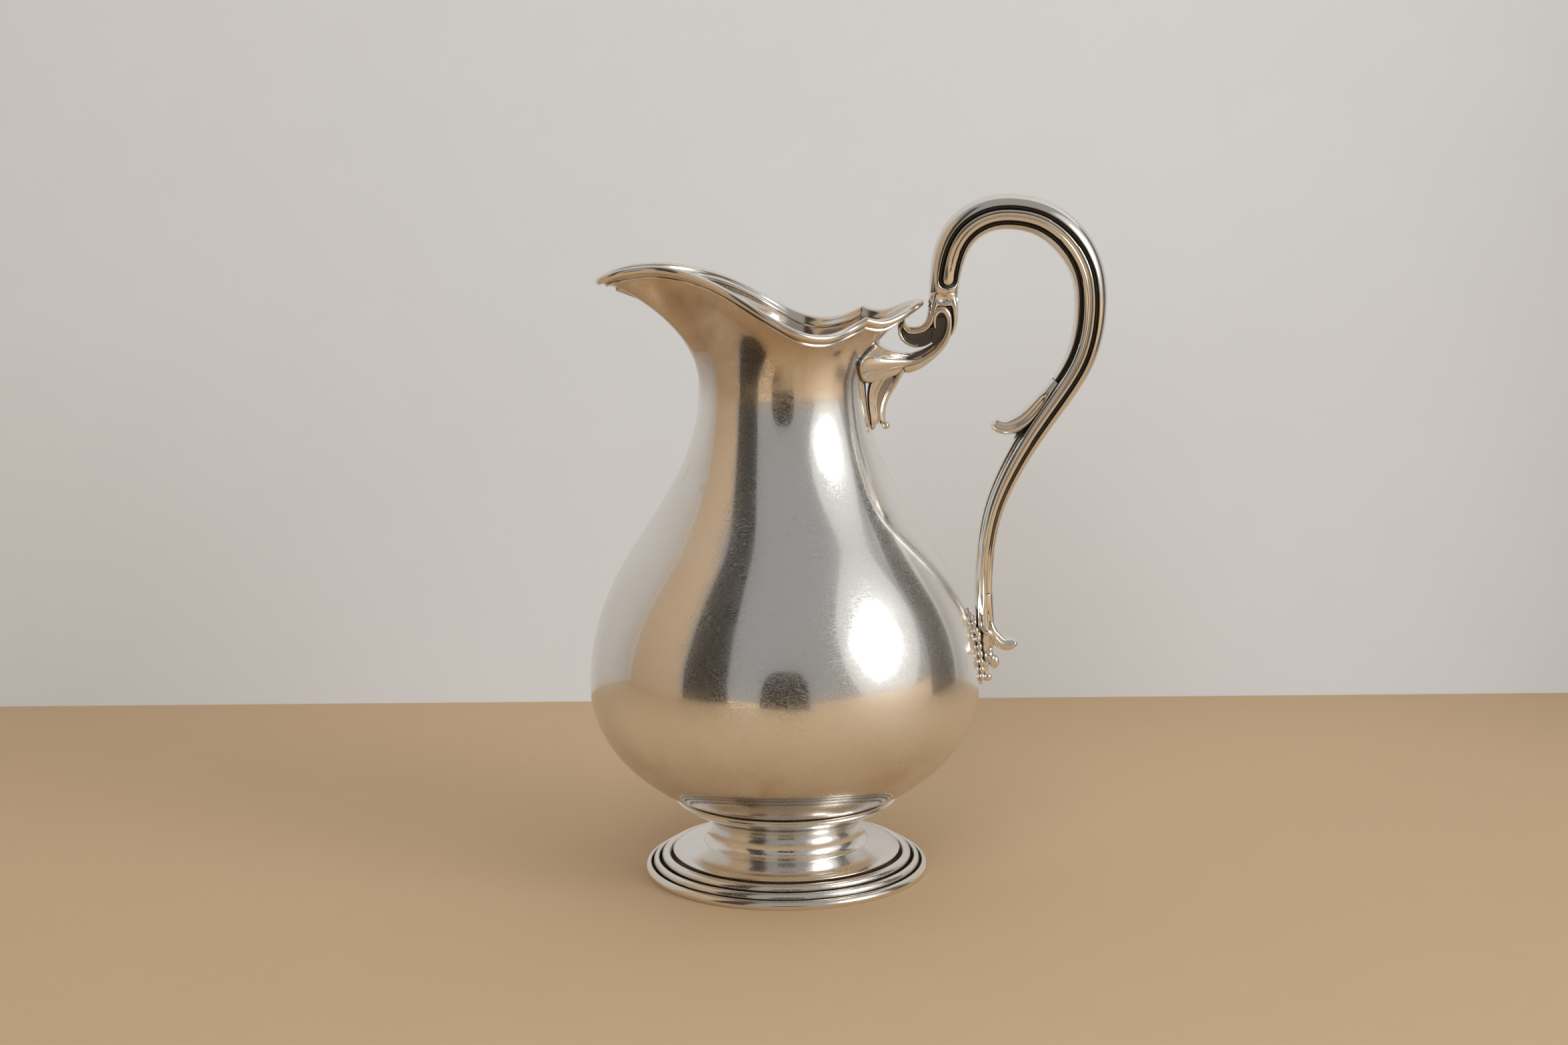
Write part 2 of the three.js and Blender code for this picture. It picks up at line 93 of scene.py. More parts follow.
def spline(knots, values, at):
    """The natural cubic spline through `values` at `knots`, read at each of `at`."""
    knots = np.asarray(knots, float)
    values = np.asarray(values, float).reshape(len(knots), -1)
    n, step, slope = len(knots), np.diff(knots), np.diff(values, axis=0)
    slope /= step[:, None]
    system, target = np.eye(n), np.zeros_like(values)
    for i in range(1, n - 1):
        system[i, i - 1 : i + 2] = step[i - 1], 2 * (step[i - 1] + step[i]), step[i]
        target[i] = 6 * (slope[i] - slope[i - 1])
    bend = np.linalg.solve(system, target)
    i = np.clip(np.searchsorted(knots, at, side="right") - 1, 0, n - 2)
    past, left, h = (at - knots[i])[:, None], (knots[i + 1] - at)[:, None], step[i][:, None]
    return (
        (bend[i] * left**3 + bend[i + 1] * past**3) / (6 * h)
        + (values[i] / h - bend[i] * h / 6) * left
        + (values[i + 1] / h - bend[i + 1] * h / 6) * past
    )


def through(points, spacing):
    """A smooth run through points, in steps of about `spacing` along its first two columns."""
    points = np.asarray(points, float)
    chord = np.concatenate([[0], np.cumsum(np.linalg.norm(np.diff(points[:, :2], axis=0), axis=1))])
    fine = spline(chord, points, np.linspace(0, chord[-1], 20 * len(points)))
    run = np.concatenate([[0], np.cumsum(np.linalg.norm(np.diff(fine[:, :2], axis=0), axis=1))])
    count = max(2, round(run[-1] / spacing)) + 1
    at = np.interp(np.linspace(0, run[-1], count), run, np.arange(len(run)))
    return spline(np.arange(len(run)), fine, at)


def eased(points, rounds):
    """Evens out the bend along the first axis of a grid without shrinking it. The ends stay."""

    def blur(p):
        for _ in range(rounds):
            p = np.concatenate([p[:1], (p[:-2] + 2 * p[1:-1] + p[2:]) / 4, p[-1:]])
        return p

    once = blur(points)
    return once + blur(points - once)


# ---------- meshes ----------


def mesh_of(name, parts):
    """One object from [(points in mm, faces)], moved onto the body's axis and shaded smooth."""
    points, faces, start = [], [], 0
    for part_points, part_faces in parts:
        points.append(np.asarray(part_points, float).reshape(-1, 3))
        faces += [tuple(int(k) + start for k in face) for face in part_faces]
        start += len(points[-1])
    places = np.concatenate(points) * MM + np.array([AXIS_X, 0, 0])
    mesh = bpy.data.meshes.new(name)
    mesh.from_pydata(places.tolist(), [], faces)
    edit = bmesh.new()
    edit.from_mesh(mesh)
    bmesh.ops.remove_doubles(edit, verts=edit.verts, dist=1e-7)
    bmesh.ops.recalc_face_normals(edit, faces=edit.faces)
    edit.to_mesh(mesh)
    edit.free()
    mesh.shade_smooth()
    piece = bpy.data.objects.new(name, mesh)
    bpy.context.collection.objects.link(piece)
    return piece


def grid_faces(rows, columns, closed_rows=False, caps=True):
    """Quads over a grid whose columns close on themselves, with its first and last row filled."""
    faces = []
    for i in range(rows if closed_rows else rows - 1):
        here, above = i * columns, ((i + 1) % rows) * columns
        for j in range(columns):
            k = (j + 1) % columns
            faces.append((here + j, here + k, above + k, above + j))
    if caps and not closed_rows:
        faces.append(tuple(range(columns))[::-1])
        faces.append(tuple(range((rows - 1) * columns, rows * columns)))
    return faces


def grid(points, **options):
    """A (points, faces) part from a grid of points [row, column, xyz]."""
    return points, grid_faces(points.shape[0], points.shape[1], **options)


def spun(outline):
    """A ring spun about the axis from a closed outline of [radius, height] rows."""
    outline = np.asarray(outline, float)
    turn = np.linspace(0, 2 * math.pi, SEGMENTS, endpoint=False)
    radius, height = outline[:, :1], np.repeat(outline[:, 1:], SEGMENTS, axis=1)
    return grid(
        np.stack([radius * np.cos(turn), radius * np.sin(turn), height], axis=-1),
        closed_rows=True,
    )


def mesh_arrays(piece):
    """A piece's vertices, vertex normals and edges as arrays."""
    mesh = piece.data
    points = np.empty(3 * len(mesh.vertices))
    mesh.vertices.foreach_get("co", points)
    normals = np.empty(3 * len(mesh.vertices))
    mesh.vertex_normals.foreach_get("vector", normals)
    edges = np.empty(2 * len(mesh.edges), int)
    mesh.edges.foreach_get("vertices", edges)
    return points.reshape(-1, 3), normals.reshape(-1, 3), edges.reshape(-1, 2)


def mean_over_edges(values, edges, count):
    """The mean of `values` over each vertex's neighbours."""
    total = np.zeros((count,) + values.shape[1:])
    np.add.at(total, edges[:, 0], values[edges[:, 1]])
    np.add.at(total, edges[:, 1], values[edges[:, 0]])
    degree = np.bincount(edges.ravel(), minlength=count)
    return total / np.maximum(degree, 1).reshape((-1,) + (1,) * (values.ndim - 1))


# ---------- body and mouth ----------
lower_belly = bezier(
    [JUNCTION, (JUNCTION[0] + 16.2, JUNCTION[1] + 7.4), (BELLY[0], BELLY[1] - 18), BELLY], 60
)
shoulder = bezier(
    [BELLY, (BELLY[0], BELLY[1] + 51.5), (NECK[0], NECK[1] - 45.5), NECK], 130
)
belly_floor = bezier(
    [(0.01, BELLY_FLOOR), (20, BELLY_FLOOR), (32, BELLY_FLOOR + 4.4), JUNCTION], 40
)

# The middle of the rim's upper roll: [turn from the spout in degrees, x, half-width, z].
# The side of the mouth meets the rear lip in a sharp corner at CORNER_TURN.
CORNER_TURN = 146
MOUTH_SIDE = np.array(
    [
        [0, -65.6, 0, 219.4],
        [5, -63.8, 4.2, 220.6],
        [11, -58.5, 6.9, 222.6],
        [18, -50, 7.2, 224],
        [25, -42, 8.8, 224],
        [34, -33, 13.6, 222.4],
        [47, -23, 22.4, 219],
        [66, -12.2, 30.6, 213.4],
        [84, -3, 34.8, 208],
        [97, 5, 35.4, 203.8],
        [112, 12.5, 32.8, 201.7],
        [127, 19, 28.2, 202],
        [139, 25.2, 22.6, 204.2],
        [CORNER_TURN, 29.8, 20.6, 206.6],
    ],
    float,
)
REAR_LIP = np.array(
    [
        [CORNER_TURN, 29.8, 20.6, 206.6],
        [153, 35.2, 18.4, 205.4],
        [163, 42.6, 13.8, 207.6],
        [172, 47.6, 7.4, 209.9],
        [180, 49.8, 0, 210.8],
    ],
    float,
)


def reflected(rows, about):
    """Rows of [turn, x, half-width, z] continued past the jug's mirror plane at turn `about`."""
    other = rows[::-1] * np.array([-1, 1, -1, 1]) + np.array([2 * about, 0, 0, 0])
    return np.concatenate([other[:-1], rows] if about == 0 else [rows, other[1:]])


def rim_line(turns):
    """Points of the rim's middle, on the side of y < 0, at turns between 0 and 180 degrees."""
    side, lip = reflected(MOUTH_SIDE, 0), reflected(REAR_LIP, 180)
    turns = np.asarray(turns, float)
    from_side = spline(side[:, 0], side[:, 1:], np.minimum(turns, CORNER_TURN))
    from_lip = spline(lip[:, 0], lip[:, 1:], np.maximum(turns, CORNER_TURN))
    line = np.where(turns[:, None] <= CORNER_TURN, from_side, from_lip)
    return line * np.array([1, -1, 1])


def rim_frame(turns):
    """For each turn: the rim's middle, the wall's direction into it, its outward normal, the pull.

    The pull is the length in mm of the last handle of the throat's curve. At the mouth's sides
    it is short enough for the throat to flare all the way up."""
    step = 0.2
    middle = rim_line(turns)
    along = rim_line(np.minimum(turns + step, 180)) - rim_line(np.maximum(turns - step, 0))
    outward = np.stack([along[:, 1], -along[:, 0], np.zeros(len(turns))], axis=1)
    outward[turns < 0.01] = (-1, 0, 0)
    outward[turns > 179.99] = (1, 0, 0)
    outward /= np.linalg.norm(outward, axis=1)[:, None]
    flare = np.radians(
        14
        + 36 * smoothstep(turns, 0, 14)
        - 6 * smoothstep(turns, 30, 90)
        - 12 * smoothstep(turns, 150, 180)
    )[:, None]
    up = np.array([0, 0, 1])
    rise = outward * np.cos(flare) + up * np.sin(flare)
    face = outward * np.sin(flare) - up * np.cos(flare)
    pull = 21 - 16 * smoothstep(turns, 0, 9)
    pull = pull + 5 * smoothstep(turns, 26, 70) + 5 * smoothstep(turns, 150, 180)
    pull = pull - 4 * smoothstep(turns, 44, 96) * (1 - smoothstep(turns, 138, 152))
    return middle, rise, face, pull[:, None]


# Turns of the wall's columns, from the spout to the rear lip, with one on the corner.
half_turns = np.concatenate(
    [np.linspace(0, CORNER_TURN, 111)[:-1], np.linspace(CORNER_TURN, 180, 31)]
)


def both_sides(half):
    """Continues a grid [row, half column, xyz] round the side of y > 0."""
    other = half[:, -2:0:-1] * np.array([1, -1, 1])
    return np.concatenate([half, other], axis=1)


def hand_raised(surface):
    """The faint unevenness that hammering and planishing leave in a raised wall."""
    x, y, z = surface[:, :, 0], np.abs(surface[:, :, 1]), surface[:, :, 2]
    swell = (
        np.sin(x / 6.1 + z / 9.7 + 0.4)
        + np.sin(y / 5.3 - z / 7.9 + 1.7)
        + 0.7 * np.sin(x / 3.4 + y / 4.1 + z / 13 + 2.2)
        + 0.5 * np.sin(z / 2.9 + x / 8 + 0.9)
    )
    fade = smoothstep(z, 32, 45) * (1 - smoothstep(z, 188, 200))
    radius = np.maximum(np.hypot(x, y), 1)
    out = np.stack([x / radius, surface[:, :, 1] / radius, 0 * x], axis=-1)
    return HAMMERING * (swell * fade)[:, :, None] * out


def wall_half():
    """The body's outer surface from the collar to the rim, as a grid on the side of y < 0."""
    angle = np.radians(180 + half_turns)
    round_axis = np.stack([np.cos(angle), np.sin(angle)], axis=1)
    profile = np.concatenate([lower_belly[:-1], shoulder])
    bowl = np.empty((len(profile), len(half_turns), 3))
    bowl[:, :, :2] = profile[:, None, :1] * round_axis
    bowl[:, :, 2] = profile[:, 1:]
    middle, rise, face, pull = rim_frame(half_turns)
    into_roll = 1.4
    edge = middle - into_roll * rise + SHEET / 2 * face
    foot = bowl[-1]
    lift = 0.45 * np.linalg.norm(edge - foot, axis=1)[:, None] * np.array([0, 0, 1])
    throat = np.stack(
        [bezier(c, 70) for c in zip(foot, foot + lift, edge - pull * rise, edge)], axis=1
    )
    surface = eased(np.concatenate([bowl[:-1], throat]), 40)
    return surface + hand_raised(surface)


def outward_normals(surface):
    """Unit normals of a grid whose columns close on themselves."""
    around = np.roll(surface, -1, axis=1) - np.roll(surface, 1, axis=1)
    upward = np.gradient(surface, axis=0)
    normal = np.cross(around, upward)
    return normal / np.maximum(np.linalg.norm(normal, axis=2, keepdims=True), 1e-12)


wall = both_sides(wall_half())
wall_normals = outward_normals(wall)


def body():
    """The floor and the wall as one sheet, with its inside a sheet's gauge away."""
    angle = np.radians(180 + half_turns)
    floor_half = np.empty((len(belly_floor) - 1, len(half_turns), 3))
    floor_half[:, :, 0] = belly_floor[:-1, :1] * np.cos(angle)
    floor_half[:, :, 1] = belly_floor[:-1, :1] * np.sin(angle)
    floor_half[:, :, 2] = belly_floor[:-1, 1:]
    outside = np.concatenate([both_sides(floor_half), wall])
    inside = outside - SHEET * outward_normals(outside)
    return mesh_of("body", [grid(np.concatenate([outside, inside[::-1]]))])


# The mouth's moulding in section, from its inner side over the roll: [out of the wall, up it].
MOULDING = [
    (-0.95, -1.5), (-1.3, -0.7), (-1.25, 0.35), (-0.7, 1.1), (0.15, 1.3), (0.95, 0.95),
    (1.4, 0.15), (1.3, -0.7), (0.8, -1.25), (0.5, -1.8), (0.55, -2.35), (0.95, -2.65),
    (1.35, -2.95), (1.35, -3.4), (0.95, -3.75), (0.45, -4.1),
]


def rim_moulding():
    """The roll and the thin bead under it, with the groove between them, swept round the mouth."""
    turns = np.concatenate(
        [np.linspace(0, CORNER_TURN, 261)[:-1], np.linspace(CORNER_TURN, 180, 71)]
    )
    middle, rise, face, _ = rim_frame(turns)
    face = eased(face, 6)
    rise = eased(rise, 6)
    section = through(MOULDING, 0.14)
    back = np.array([(-0.5, -4.1), (-0.75, -2.6)])  # down inside the wall
    section = np.concatenate([section, back])[:, None, :, None]
    half = middle + section[:, :, 0] * face + section[:, :, 1] * rise
    ring = both_sides(half).transpose(1, 0, 2)
    return mesh_of("rim_moulding", [grid(ring, closed_rows=True)])


# ---------- foot ----------


def foot_collar():
    inner = JUNCTION[0] - 2
    crest = (COLLAR_R - 0.5, 28.8)
    outside = through([(inner, 26.9), (COLLAR_R - 0.9, 27.1), (COLLAR_R, 27.9), crest], 0.15)
    top = through([crest, (COLLAR_R - 1.2, 29.1), (inner, 28.2)], 0.2)[1:]
    return mesh_of("collar", [spun(np.concatenate([outside, top]))])


def sheet_outline(outside, gauge):
    """A closed outline of a sheet from its outer line, thickened to the inside."""
    along = np.gradient(outside, axis=0)
    along /= np.linalg.norm(along, axis=1)[:, None]
    inside = outside + gauge * np.stack([along[:, 1], -along[:, 0]], axis=1)
    return np.concatenate([outside, inside[::-1]])


def foot_stem():
    outline = [
        (COLLAR_R - 0.6, 27.2), (37.4, 25.3), (33.6, 23.4), (30.3, 20.9), (28.3, 18),
        (27.9, 15.6), (28.4, 13.2), (30.6, 11.1),
    ]
    outside = through(outline, 0.35)
    return mesh_of("stem", [spun(sheet_outline(outside, SHEET))])


def foot_dome():
    outside = through([(30.2, 11.2), (33, 10.5), (37, 9.8), (40.6, 8.8), (DOME_R, 7.7)], 0.3)
    return mesh_of("dome", [spun(sheet_outline(outside, SHEET))])


def step_outline(inner, outer, crest, drop):
    """A moulded step: a low arch between two radii that falls away outwards."""
    width = outer - inner
    arch = through(
        [
            (inner + 0.1, crest - 1.8),
            (inner + 0.22 * width, crest - 0.6),
            (inner + 0.5 * width, crest),
            (inner + 0.78 * width, crest - 0.4 * drop),
            (outer - 0.15, crest - drop - 0.3),
            (outer, crest - drop - 1.1),
        ],
        0.12,
    )
    return np.concatenate([arch, [(outer, crest - drop - 2.2), (inner, crest - 2.6)]])


def foot_base():
    outline = [
        (50.1, 2.4), (50.6, 3.15), (51.4, 3.2), (52.2, 2.6), (BASE_R, 1.6), (BASE_R - 0.15, 0.7),
        (52.1, 0),
    ]
    outside = through(outline, 0.12)
    return mesh_of("base_wire", [spun(np.concatenate([outside, [(49.8, 0)]]))])


# ---------- handle ----------


def bar(stations, relief=None, spacing=0.3, around=96, square=2.3, tips=(0, 0)):
    """A bar along a curve in the handle's plane, from stations of [x, z, width, side].

    The section is a rounded oblong. `relief(across, run)` raises its two side faces, with
    `across` measured from the middle line towards the curve's left and `run` along it, in mm.
    `tips` are the lengths over which each end rounds to a point."""
    rows = through(stations, spacing)
    centre, width, side = rows[:, :2], rows[:, 2:3] / 2, rows[:, 3:4] / 2
    along = np.gradient(centre, axis=0)
    along /= np.linalg.norm(along, axis=1)[:, None]
    run = np.concatenate([[0], np.cumsum(np.linalg.norm(np.diff(centre, axis=0), axis=1))])
    for length, from_end in zip(tips, (run, run[-1] - run)):
        if length:
            t = np.clip(from_end / length, 0.02, 1)[:, None]
            rounding = np.sqrt(1 - (1 - t) ** 2)
            width, side = width * rounding, side * rounding
    turn = np.linspace(0, 2 * math.pi, around, endpoint=False)[None, :]
    across = width * np.sign(np.cos(turn)) * np.abs(np.cos(turn)) ** (2 / square)
    lateral = np.sign(np.sin(turn)) * np.abs(np.sin(turn)) ** (2 / square)
    y = side * lateral
    if relief is not None:
        on_face = np.sign(lateral) * smoothstep(np.abs(lateral), 0.15, 0.6)
        y = y + relief(across, run[:, None] + 0 * across) * on_face
    left = np.stack([-along[:, 1], along[:, 0]], axis=1)
    x = centre[:, :1] + left[:, :1] * across
    z = centre[:, 1:2] + left[:, 1:2] * across
    return grid(np.stack([x, y, z], axis=-1))


# The grip from its upper end, by the neck, over the loop and down to the belly.
GRIP = [
    (58.3, 213, 10.3, 8.8),
    (58.5, 216.5, 10.7, 10),
    (59.3, 223, 11.5, 10.6),
    (64.5, 236, 12.6, GRIP_SIDE),
    (74, 242.2, 12.7, GRIP_SIDE),
    (84, 243, 12.8, GRIP_SIDE),
    (94, 240.4, 13, GRIP_SIDE),
    (103.5, 233, 13.2, GRIP_SIDE),
    (109.8, 221.5, 12.3, GRIP_SIDE),
    (111.2, 208, 11.8, GRIP_SIDE),
    (107.6, 190, 11, GRIP_SIDE),
    (100, 177, 10.4, 12),
    (90.5, 163, 9.6, 11),
    (82, 148, 8.4, 10),
    (76.5, 134, 7.4, 9.2),
    (73.9, 119, 6.9, 8.8),
    (73.3, 103.4, 6.7, 8.6),
    (73.6, 96, 6.4, 8.2),
]
TONGUE_RUN = 6.4  # along the grip, from its upper end to the end of the rib
GROOVE_DEPTH = 2.1
FLUTES_FADE = (180.0, 222.0)  # along the grip, where the grooves run out
LOWER_RIPPLE = 0.22  # height of the unevenness below the grooves


def grip_relief(across, run):
    """Two grooves and a rib between them, which ends in a round tongue near the fork."""
    taper = 1 - 0.42 * smoothstep(run, 125, 230)
    off_line = np.abs(across + 0.9 * taper) / taper
    before_tongue = np.maximum(TONGUE_RUN - run, 0)
    from_rib = np.hypot(off_line, before_tongue) - 1.75
    groove = np.exp(-(((from_rib - 0.95) / 0.66) ** 4))
    line = bell(off_line, 0.26) * smoothstep(run, TONGUE_RUN + 2, TONGUE_RUN + 8)
    depth = GROOVE_DEPTH * taper * (1 - smoothstep(run, *FLUTES_FADE))
    depth = depth * (1 - 0.35 * smoothstep(run, 100, 170))
    wave = np.sin(2.6 * across + 0.34 * run + 1.2 * np.sin(0.23 * run))
    ripple = LOWER_RIPPLE * wave * smoothstep(run, 175, 215)
    return -depth * groove - 0.28 * depth * line + 0.25 * depth * (from_rib < 0) + ripple


def grip():
    fluted = bar(GRIP, grip_relief, spacing=0.5, around=160, square=2.1, tips=(1.5, 0))
    return mesh_of("grip", [fluted])


def blob(x, y, z, rx, ry, rz, rings=24):
    """An ellipsoid as a (points, faces) part."""
    polar = np.linspace(0.02, math.pi - 0.02, rings)[:, None]
    turn = np.linspace(0, 2 * math.pi, 2 * rings, endpoint=False)[None, :]
    points = np.stack(
        [
            x + rx * np.sin(polar) * np.cos(turn),
            y + ry * np.sin(polar) * np.sin(turn),
            z + rz * np.cos(polar) + 0 * turn,
        ],
        axis=-1,
    )
    return grid(points)


def web(outline, side):
    """A flat filling between scrolls: a smooth closed outline of (x, z), `side` thick across."""
    line = through([*outline, outline[0]], 0.5)[:-1]
    x, z = line[:, 0], line[:, 1]
    layers = [np.stack([x, 0 * x + y, z], axis=1) for y in (-side / 2, side / 2)]
    return grid(np.stack(layers))


def cast_piece(name, parts, voxel=0.2, rounds=5):
    """One casting: overlapping parts melted into one skin and then softened."""
    rough = mesh_of(name, parts)
    melt = rough.modifiers.new("melt", "REMESH")
    melt.mode, melt.voxel_size = "VOXEL", voxel * MM
    bpy.context.view_layer.update()
    melted = rough.evaluated_get(bpy.context.evaluated_depsgraph_get())
    skin = bpy.data.meshes.new_from_object(melted)
    rough.modifiers.clear()
    rough.data = skin
    points, _, edges = mesh_arrays(rough)
    for _ in range(rounds):
        for share in (0.6, -0.55):
            points = points + share * (mean_over_edges(points, edges, len(points)) - points)
    skin.vertices.foreach_set("co", points.ravel())
    skin.shade_smooth()
    skin.update()
    return rough


def thumb_spur():
    """The leaf that curls off the inside of the grip, under the thumb."""
    leaf = [
        (99, 182, 4, 8),
        (94.5, 176, 5.2, 9.4),
        (90.4, 170.9, 6.4, 9.8),
        (86, 167.2, 6.7, 9.8),
        (81.6, 165.6, 6.0, 9.6),
        (78.4, 165.9, 5.1, 9),
        (76.0, 167.6, 4.4, 8),
    ]

    def relief(across, run):
        return -1.1 * bell(across + 0.6, 0.9) * smoothstep(run, 5, 10)

    return cast_piece("thumb_leaf", [bar(leaf, relief, spacing=0.4, tips=(0, 1.5))])


def upper_fork():
    """The grip's end by the neck: it forks round the hood into a volute and a horn."""
    side = SCROLL_SIDE
    limb = [
        (58.3, 215.6, 10.1, 9.2),
        (58.3, 213.6, 10.6, 9.7),
        (58.2, 211.2, 10.8, 9.3),
        (58.2, 209.4, 10.6, 8.2),
    ]

    def waist(across, run):
        return -1.3 * np.exp(-((across / 1.9) ** 2) - ((run - 3.2) / 1.4) ** 4)

    volute = [
        (55.9, 212.6, 5, side - 0.4),
        (54.6, 208.6, 4.1, side),
        (53.4, 204.4, 3.4, side),
        (51.4, 201.8, 3.2, side),
        (47.9, 200.8, 3.2, side - 0.4),
        (45.1, 201.5, 3, side - 0.8),
        (43.8, 203.7, 2.1, side - 2),
        (43.9, 205.6, 1.2, side - 4),
    ]
    volute_edge = [
        (43.3, 204.4, 1, 4.6),
        (42.6, 202.2, 1.6, 5.6),
        (42.6, 199.9, 1.7, 6),
        (43.6, 197.7, 1.7, 6.2),
        (45.7, 196.1, 1.6, 6.2),
        (48.6, 195.2, 1.4, 6),
    ]
    horn = [
        (60.7, 212.8, 5, side - 0.4),
        (61.9, 210, 3.4, side),
        (62.3, 205.8, 2.5, side - 0.4),
        (61.7, 201.6, 2, side - 1),
        (60, 198.2, 1.5, side - 2),
    ]
    hollow = [
        (43, 203.4), (42.3, 200.4), (43.4, 197.6), (46, 195.6), (49.5, 194.8), (54.5, 197),
        (58, 202), (59, 208), (56, 208.6), (54, 205), (51.4, 202), (47.9, 201), (45, 201.8),
    ]
    crotch = [
        (53.8, 213), (58.3, 213.4), (62.8, 213), (63, 208), (61.8, 203.6), (60.6, 205.6),
        (57.6, 208), (55, 206.6), (53.6, 205.4), (53.2, 209),
    ]
    bars = [
        bar(limb, waist, tips=(1.2, 0.6)),
        bar(volute, tips=(1, 1.2)),
        bar(volute_edge),
        bar(horn, tips=(1, 2)),
    ]
    return cast_piece("upper_fork", [*bars, web(hollow, 3), web(crotch, 6)])


def hooded_scroll():
    """The second scroll: a round hood in the fork, and a channelled stalk that runs to the neck."""
    side = SCROLL_SIDE + 1
    hood = [
        (55.3, 200.8, 1.5, side - 2.4),
        (54.9, 204.2, 1.9, side - 1),
        (55.5, 207.2, 3, side),
        (57.4, 208.6, 3.9, side + 0.4),
        (59.3, 207.4, 3.7, side + 0.2),
        (60.2, 204.4, 3, side),
        (60, 201.2, 3, side),
        (58.5, 197.2, 3.6, side),
        (55, 193.6, 4.6, side),
        (50.4, 190.6, 6, side),
        (46.4, 189, 6.7, side),
        (43, 188, 6.2, side - 0.6),
    ]

    def relief(across, run):
        upper = bell(across + 1.1 + 0.03 * (run - 20), 1.0)
        return -1.5 * upper * smoothstep(run, 21, 27)

    scroll = bar(hood, relief, tips=(1.5, 1.5))
    teardrop = web([(56.2, 205.6), (58.8, 205.6), (59, 201), (57.4, 196.8), (55, 196)], 4)
    return cast_piece("hooded_scroll", [scroll, teardrop])


def neck_seat(turn, height):
    """A point on the neck's wall at a turn from the spout, with its outward normal."""
    column = int(np.argmin(np.abs(half_turns - turn)))
    row = int(np.argmin(np.abs(wall[:, column, 2] - height)))
    return wall[row, column], wall_normals[row, column]


def neck_socket():
    """The cupped leaf that hugs the neck and narrows into the stalk.

    Its ring of `angle` starts at the front and runs up over the top, so that its sine is the
    height. Two horns rise beside the saddle on top, with a channel inside each."""
    around, lengths = 144, 46
    angle = np.linspace(0, 2 * math.pi, around, endpoint=False)
    up = np.sin(angle)
    horn = bell(up - 0.72, 0.16)
    low = bell(up + 1, 0.42)
    # The edge of the leaf, laid on the neck's wall.
    height = 190.6 + 6.4 * up + 2.2 * horn - 1.8 * low
    turns = 180 - 30.5 * np.abs(np.cos(angle)) ** 0.75
    seat, off = np.empty((around, 3)), np.empty((around, 3))
    for k in range(around):
        mirror = np.array([1, 1 if math.cos(angle[k]) > 0 else -1, 1])
        point, normal = neck_seat(turns[k], height[k])
        seat[k], off[k] = point * mirror, normal * mirror
    for _ in range(3):
        seat = (np.roll(seat, 1, 0) + 2 * seat + np.roll(seat, -1, 0)) / 4
    # The small end, inside the stalk, and the skin between the two.
    end = np.stack(
        [
            np.full(around, 48.5),
            -(SCROLL_SIDE / 2 - 0.2) * np.cos(angle),
            189.8 + 2.6 * up,
        ],
        axis=1,
    )
    edge = seat + 1.4 * off
    t = np.linspace(0, 1, lengths)[:, None, None]
    narrowing = 1 - (1 - t) ** 2.0
    skin = edge * (1 - narrowing) + end * narrowing
    skin[:, :, 0] = edge[:, 0] + (end[:, 0] - edge[:, 0]) * t[:, :, 0]
    skin[:, :, 2] -= 2.0 * np.sin(math.pi * t[:, :, 0]) * low
    # Relief on the skin: fuller sides, the channels of the horns and a fold below.
    outward = skin - skin.mean(axis=1, keepdims=True)
    outward /= np.linalg.norm(outward, axis=2, keepdims=True)
    up = up[None, :, None]
    belly_out = 1.1 * np.sin(math.pi * t) * bell(up, 0.5)
    channel = 1.5 * bell(up - 0.66 + 0.1 * t, 0.17) * smoothstep(t, 0.02, 0.2)
    fold = 0.6 * bell(up + 0.66, 0.12) * smoothstep(t, 0.05, 0.2)
    skin = skin + outward * (belly_out - channel - fold)
    skin = np.concatenate([(seat - 0.5 * off)[None], skin])
    return cast_piece("neck_socket_leaf", [grid(skin)], rounds=4)


def hanging_leaf():
    """The folded leaf under the socket: a broad lobe on the neck and a thin one beside it."""
    left = [
        (34.6, 184.4, 5, 9),
        (32.6, 179, 3.6, 7.2),
        (32.5, 173, 3.1, 6.4),
        (33, 168, 2.6, 5.4),
        (32.7, 164.6, 1.2, 3),
    ]
    right = [
        (43.4, 187.4, 3, 7),
        (40.4, 181.6, 2.6, 7),
        (37.7, 176.6, 2.3, 6.6),
        (36.4, 171.6, 2.1, 6),
        (36.7, 167, 1.8, 5),
    ]

    def rib(across, run):
        return -0.9 * bell(across, 0.5) * smoothstep(run, 4, 8)

    lobes = [
        bar(left, rib, tips=(0, 1.5)),
        bar(right, tips=(0, 1)),
    ]
    infill = web([(33, 184), (41, 183.4), (37, 176), (35.8, 169), (34, 167), (33, 174)], 4.4)
    return cast_piece("hanging_leaf", [*lobes, infill])


def lower_socket():
    """The block where the grip ends on the belly, with two creases in each side."""
    block = [
        (73.5, 104, 6.7, 8.5),
        (73.7, 98, 6.8, 8.6),
        (74.0, 92, 6.8, 8.6),
        (74.1, 86, 6.2, 8.2),
        (74.3, 80.6, 4.6, 6.6),
    ]

    def folds(across, run):
        slanting = bell(across - 0.4 - 0.08 * run, 0.7)
        straight = bell(across + 1.9, 0.5)
        return -0.9 * (slanting + straight) * smoothstep(run, 3, 9)

    return cast_piece("lower_socket_block", [bar(block, folds, tips=(0, 3))])


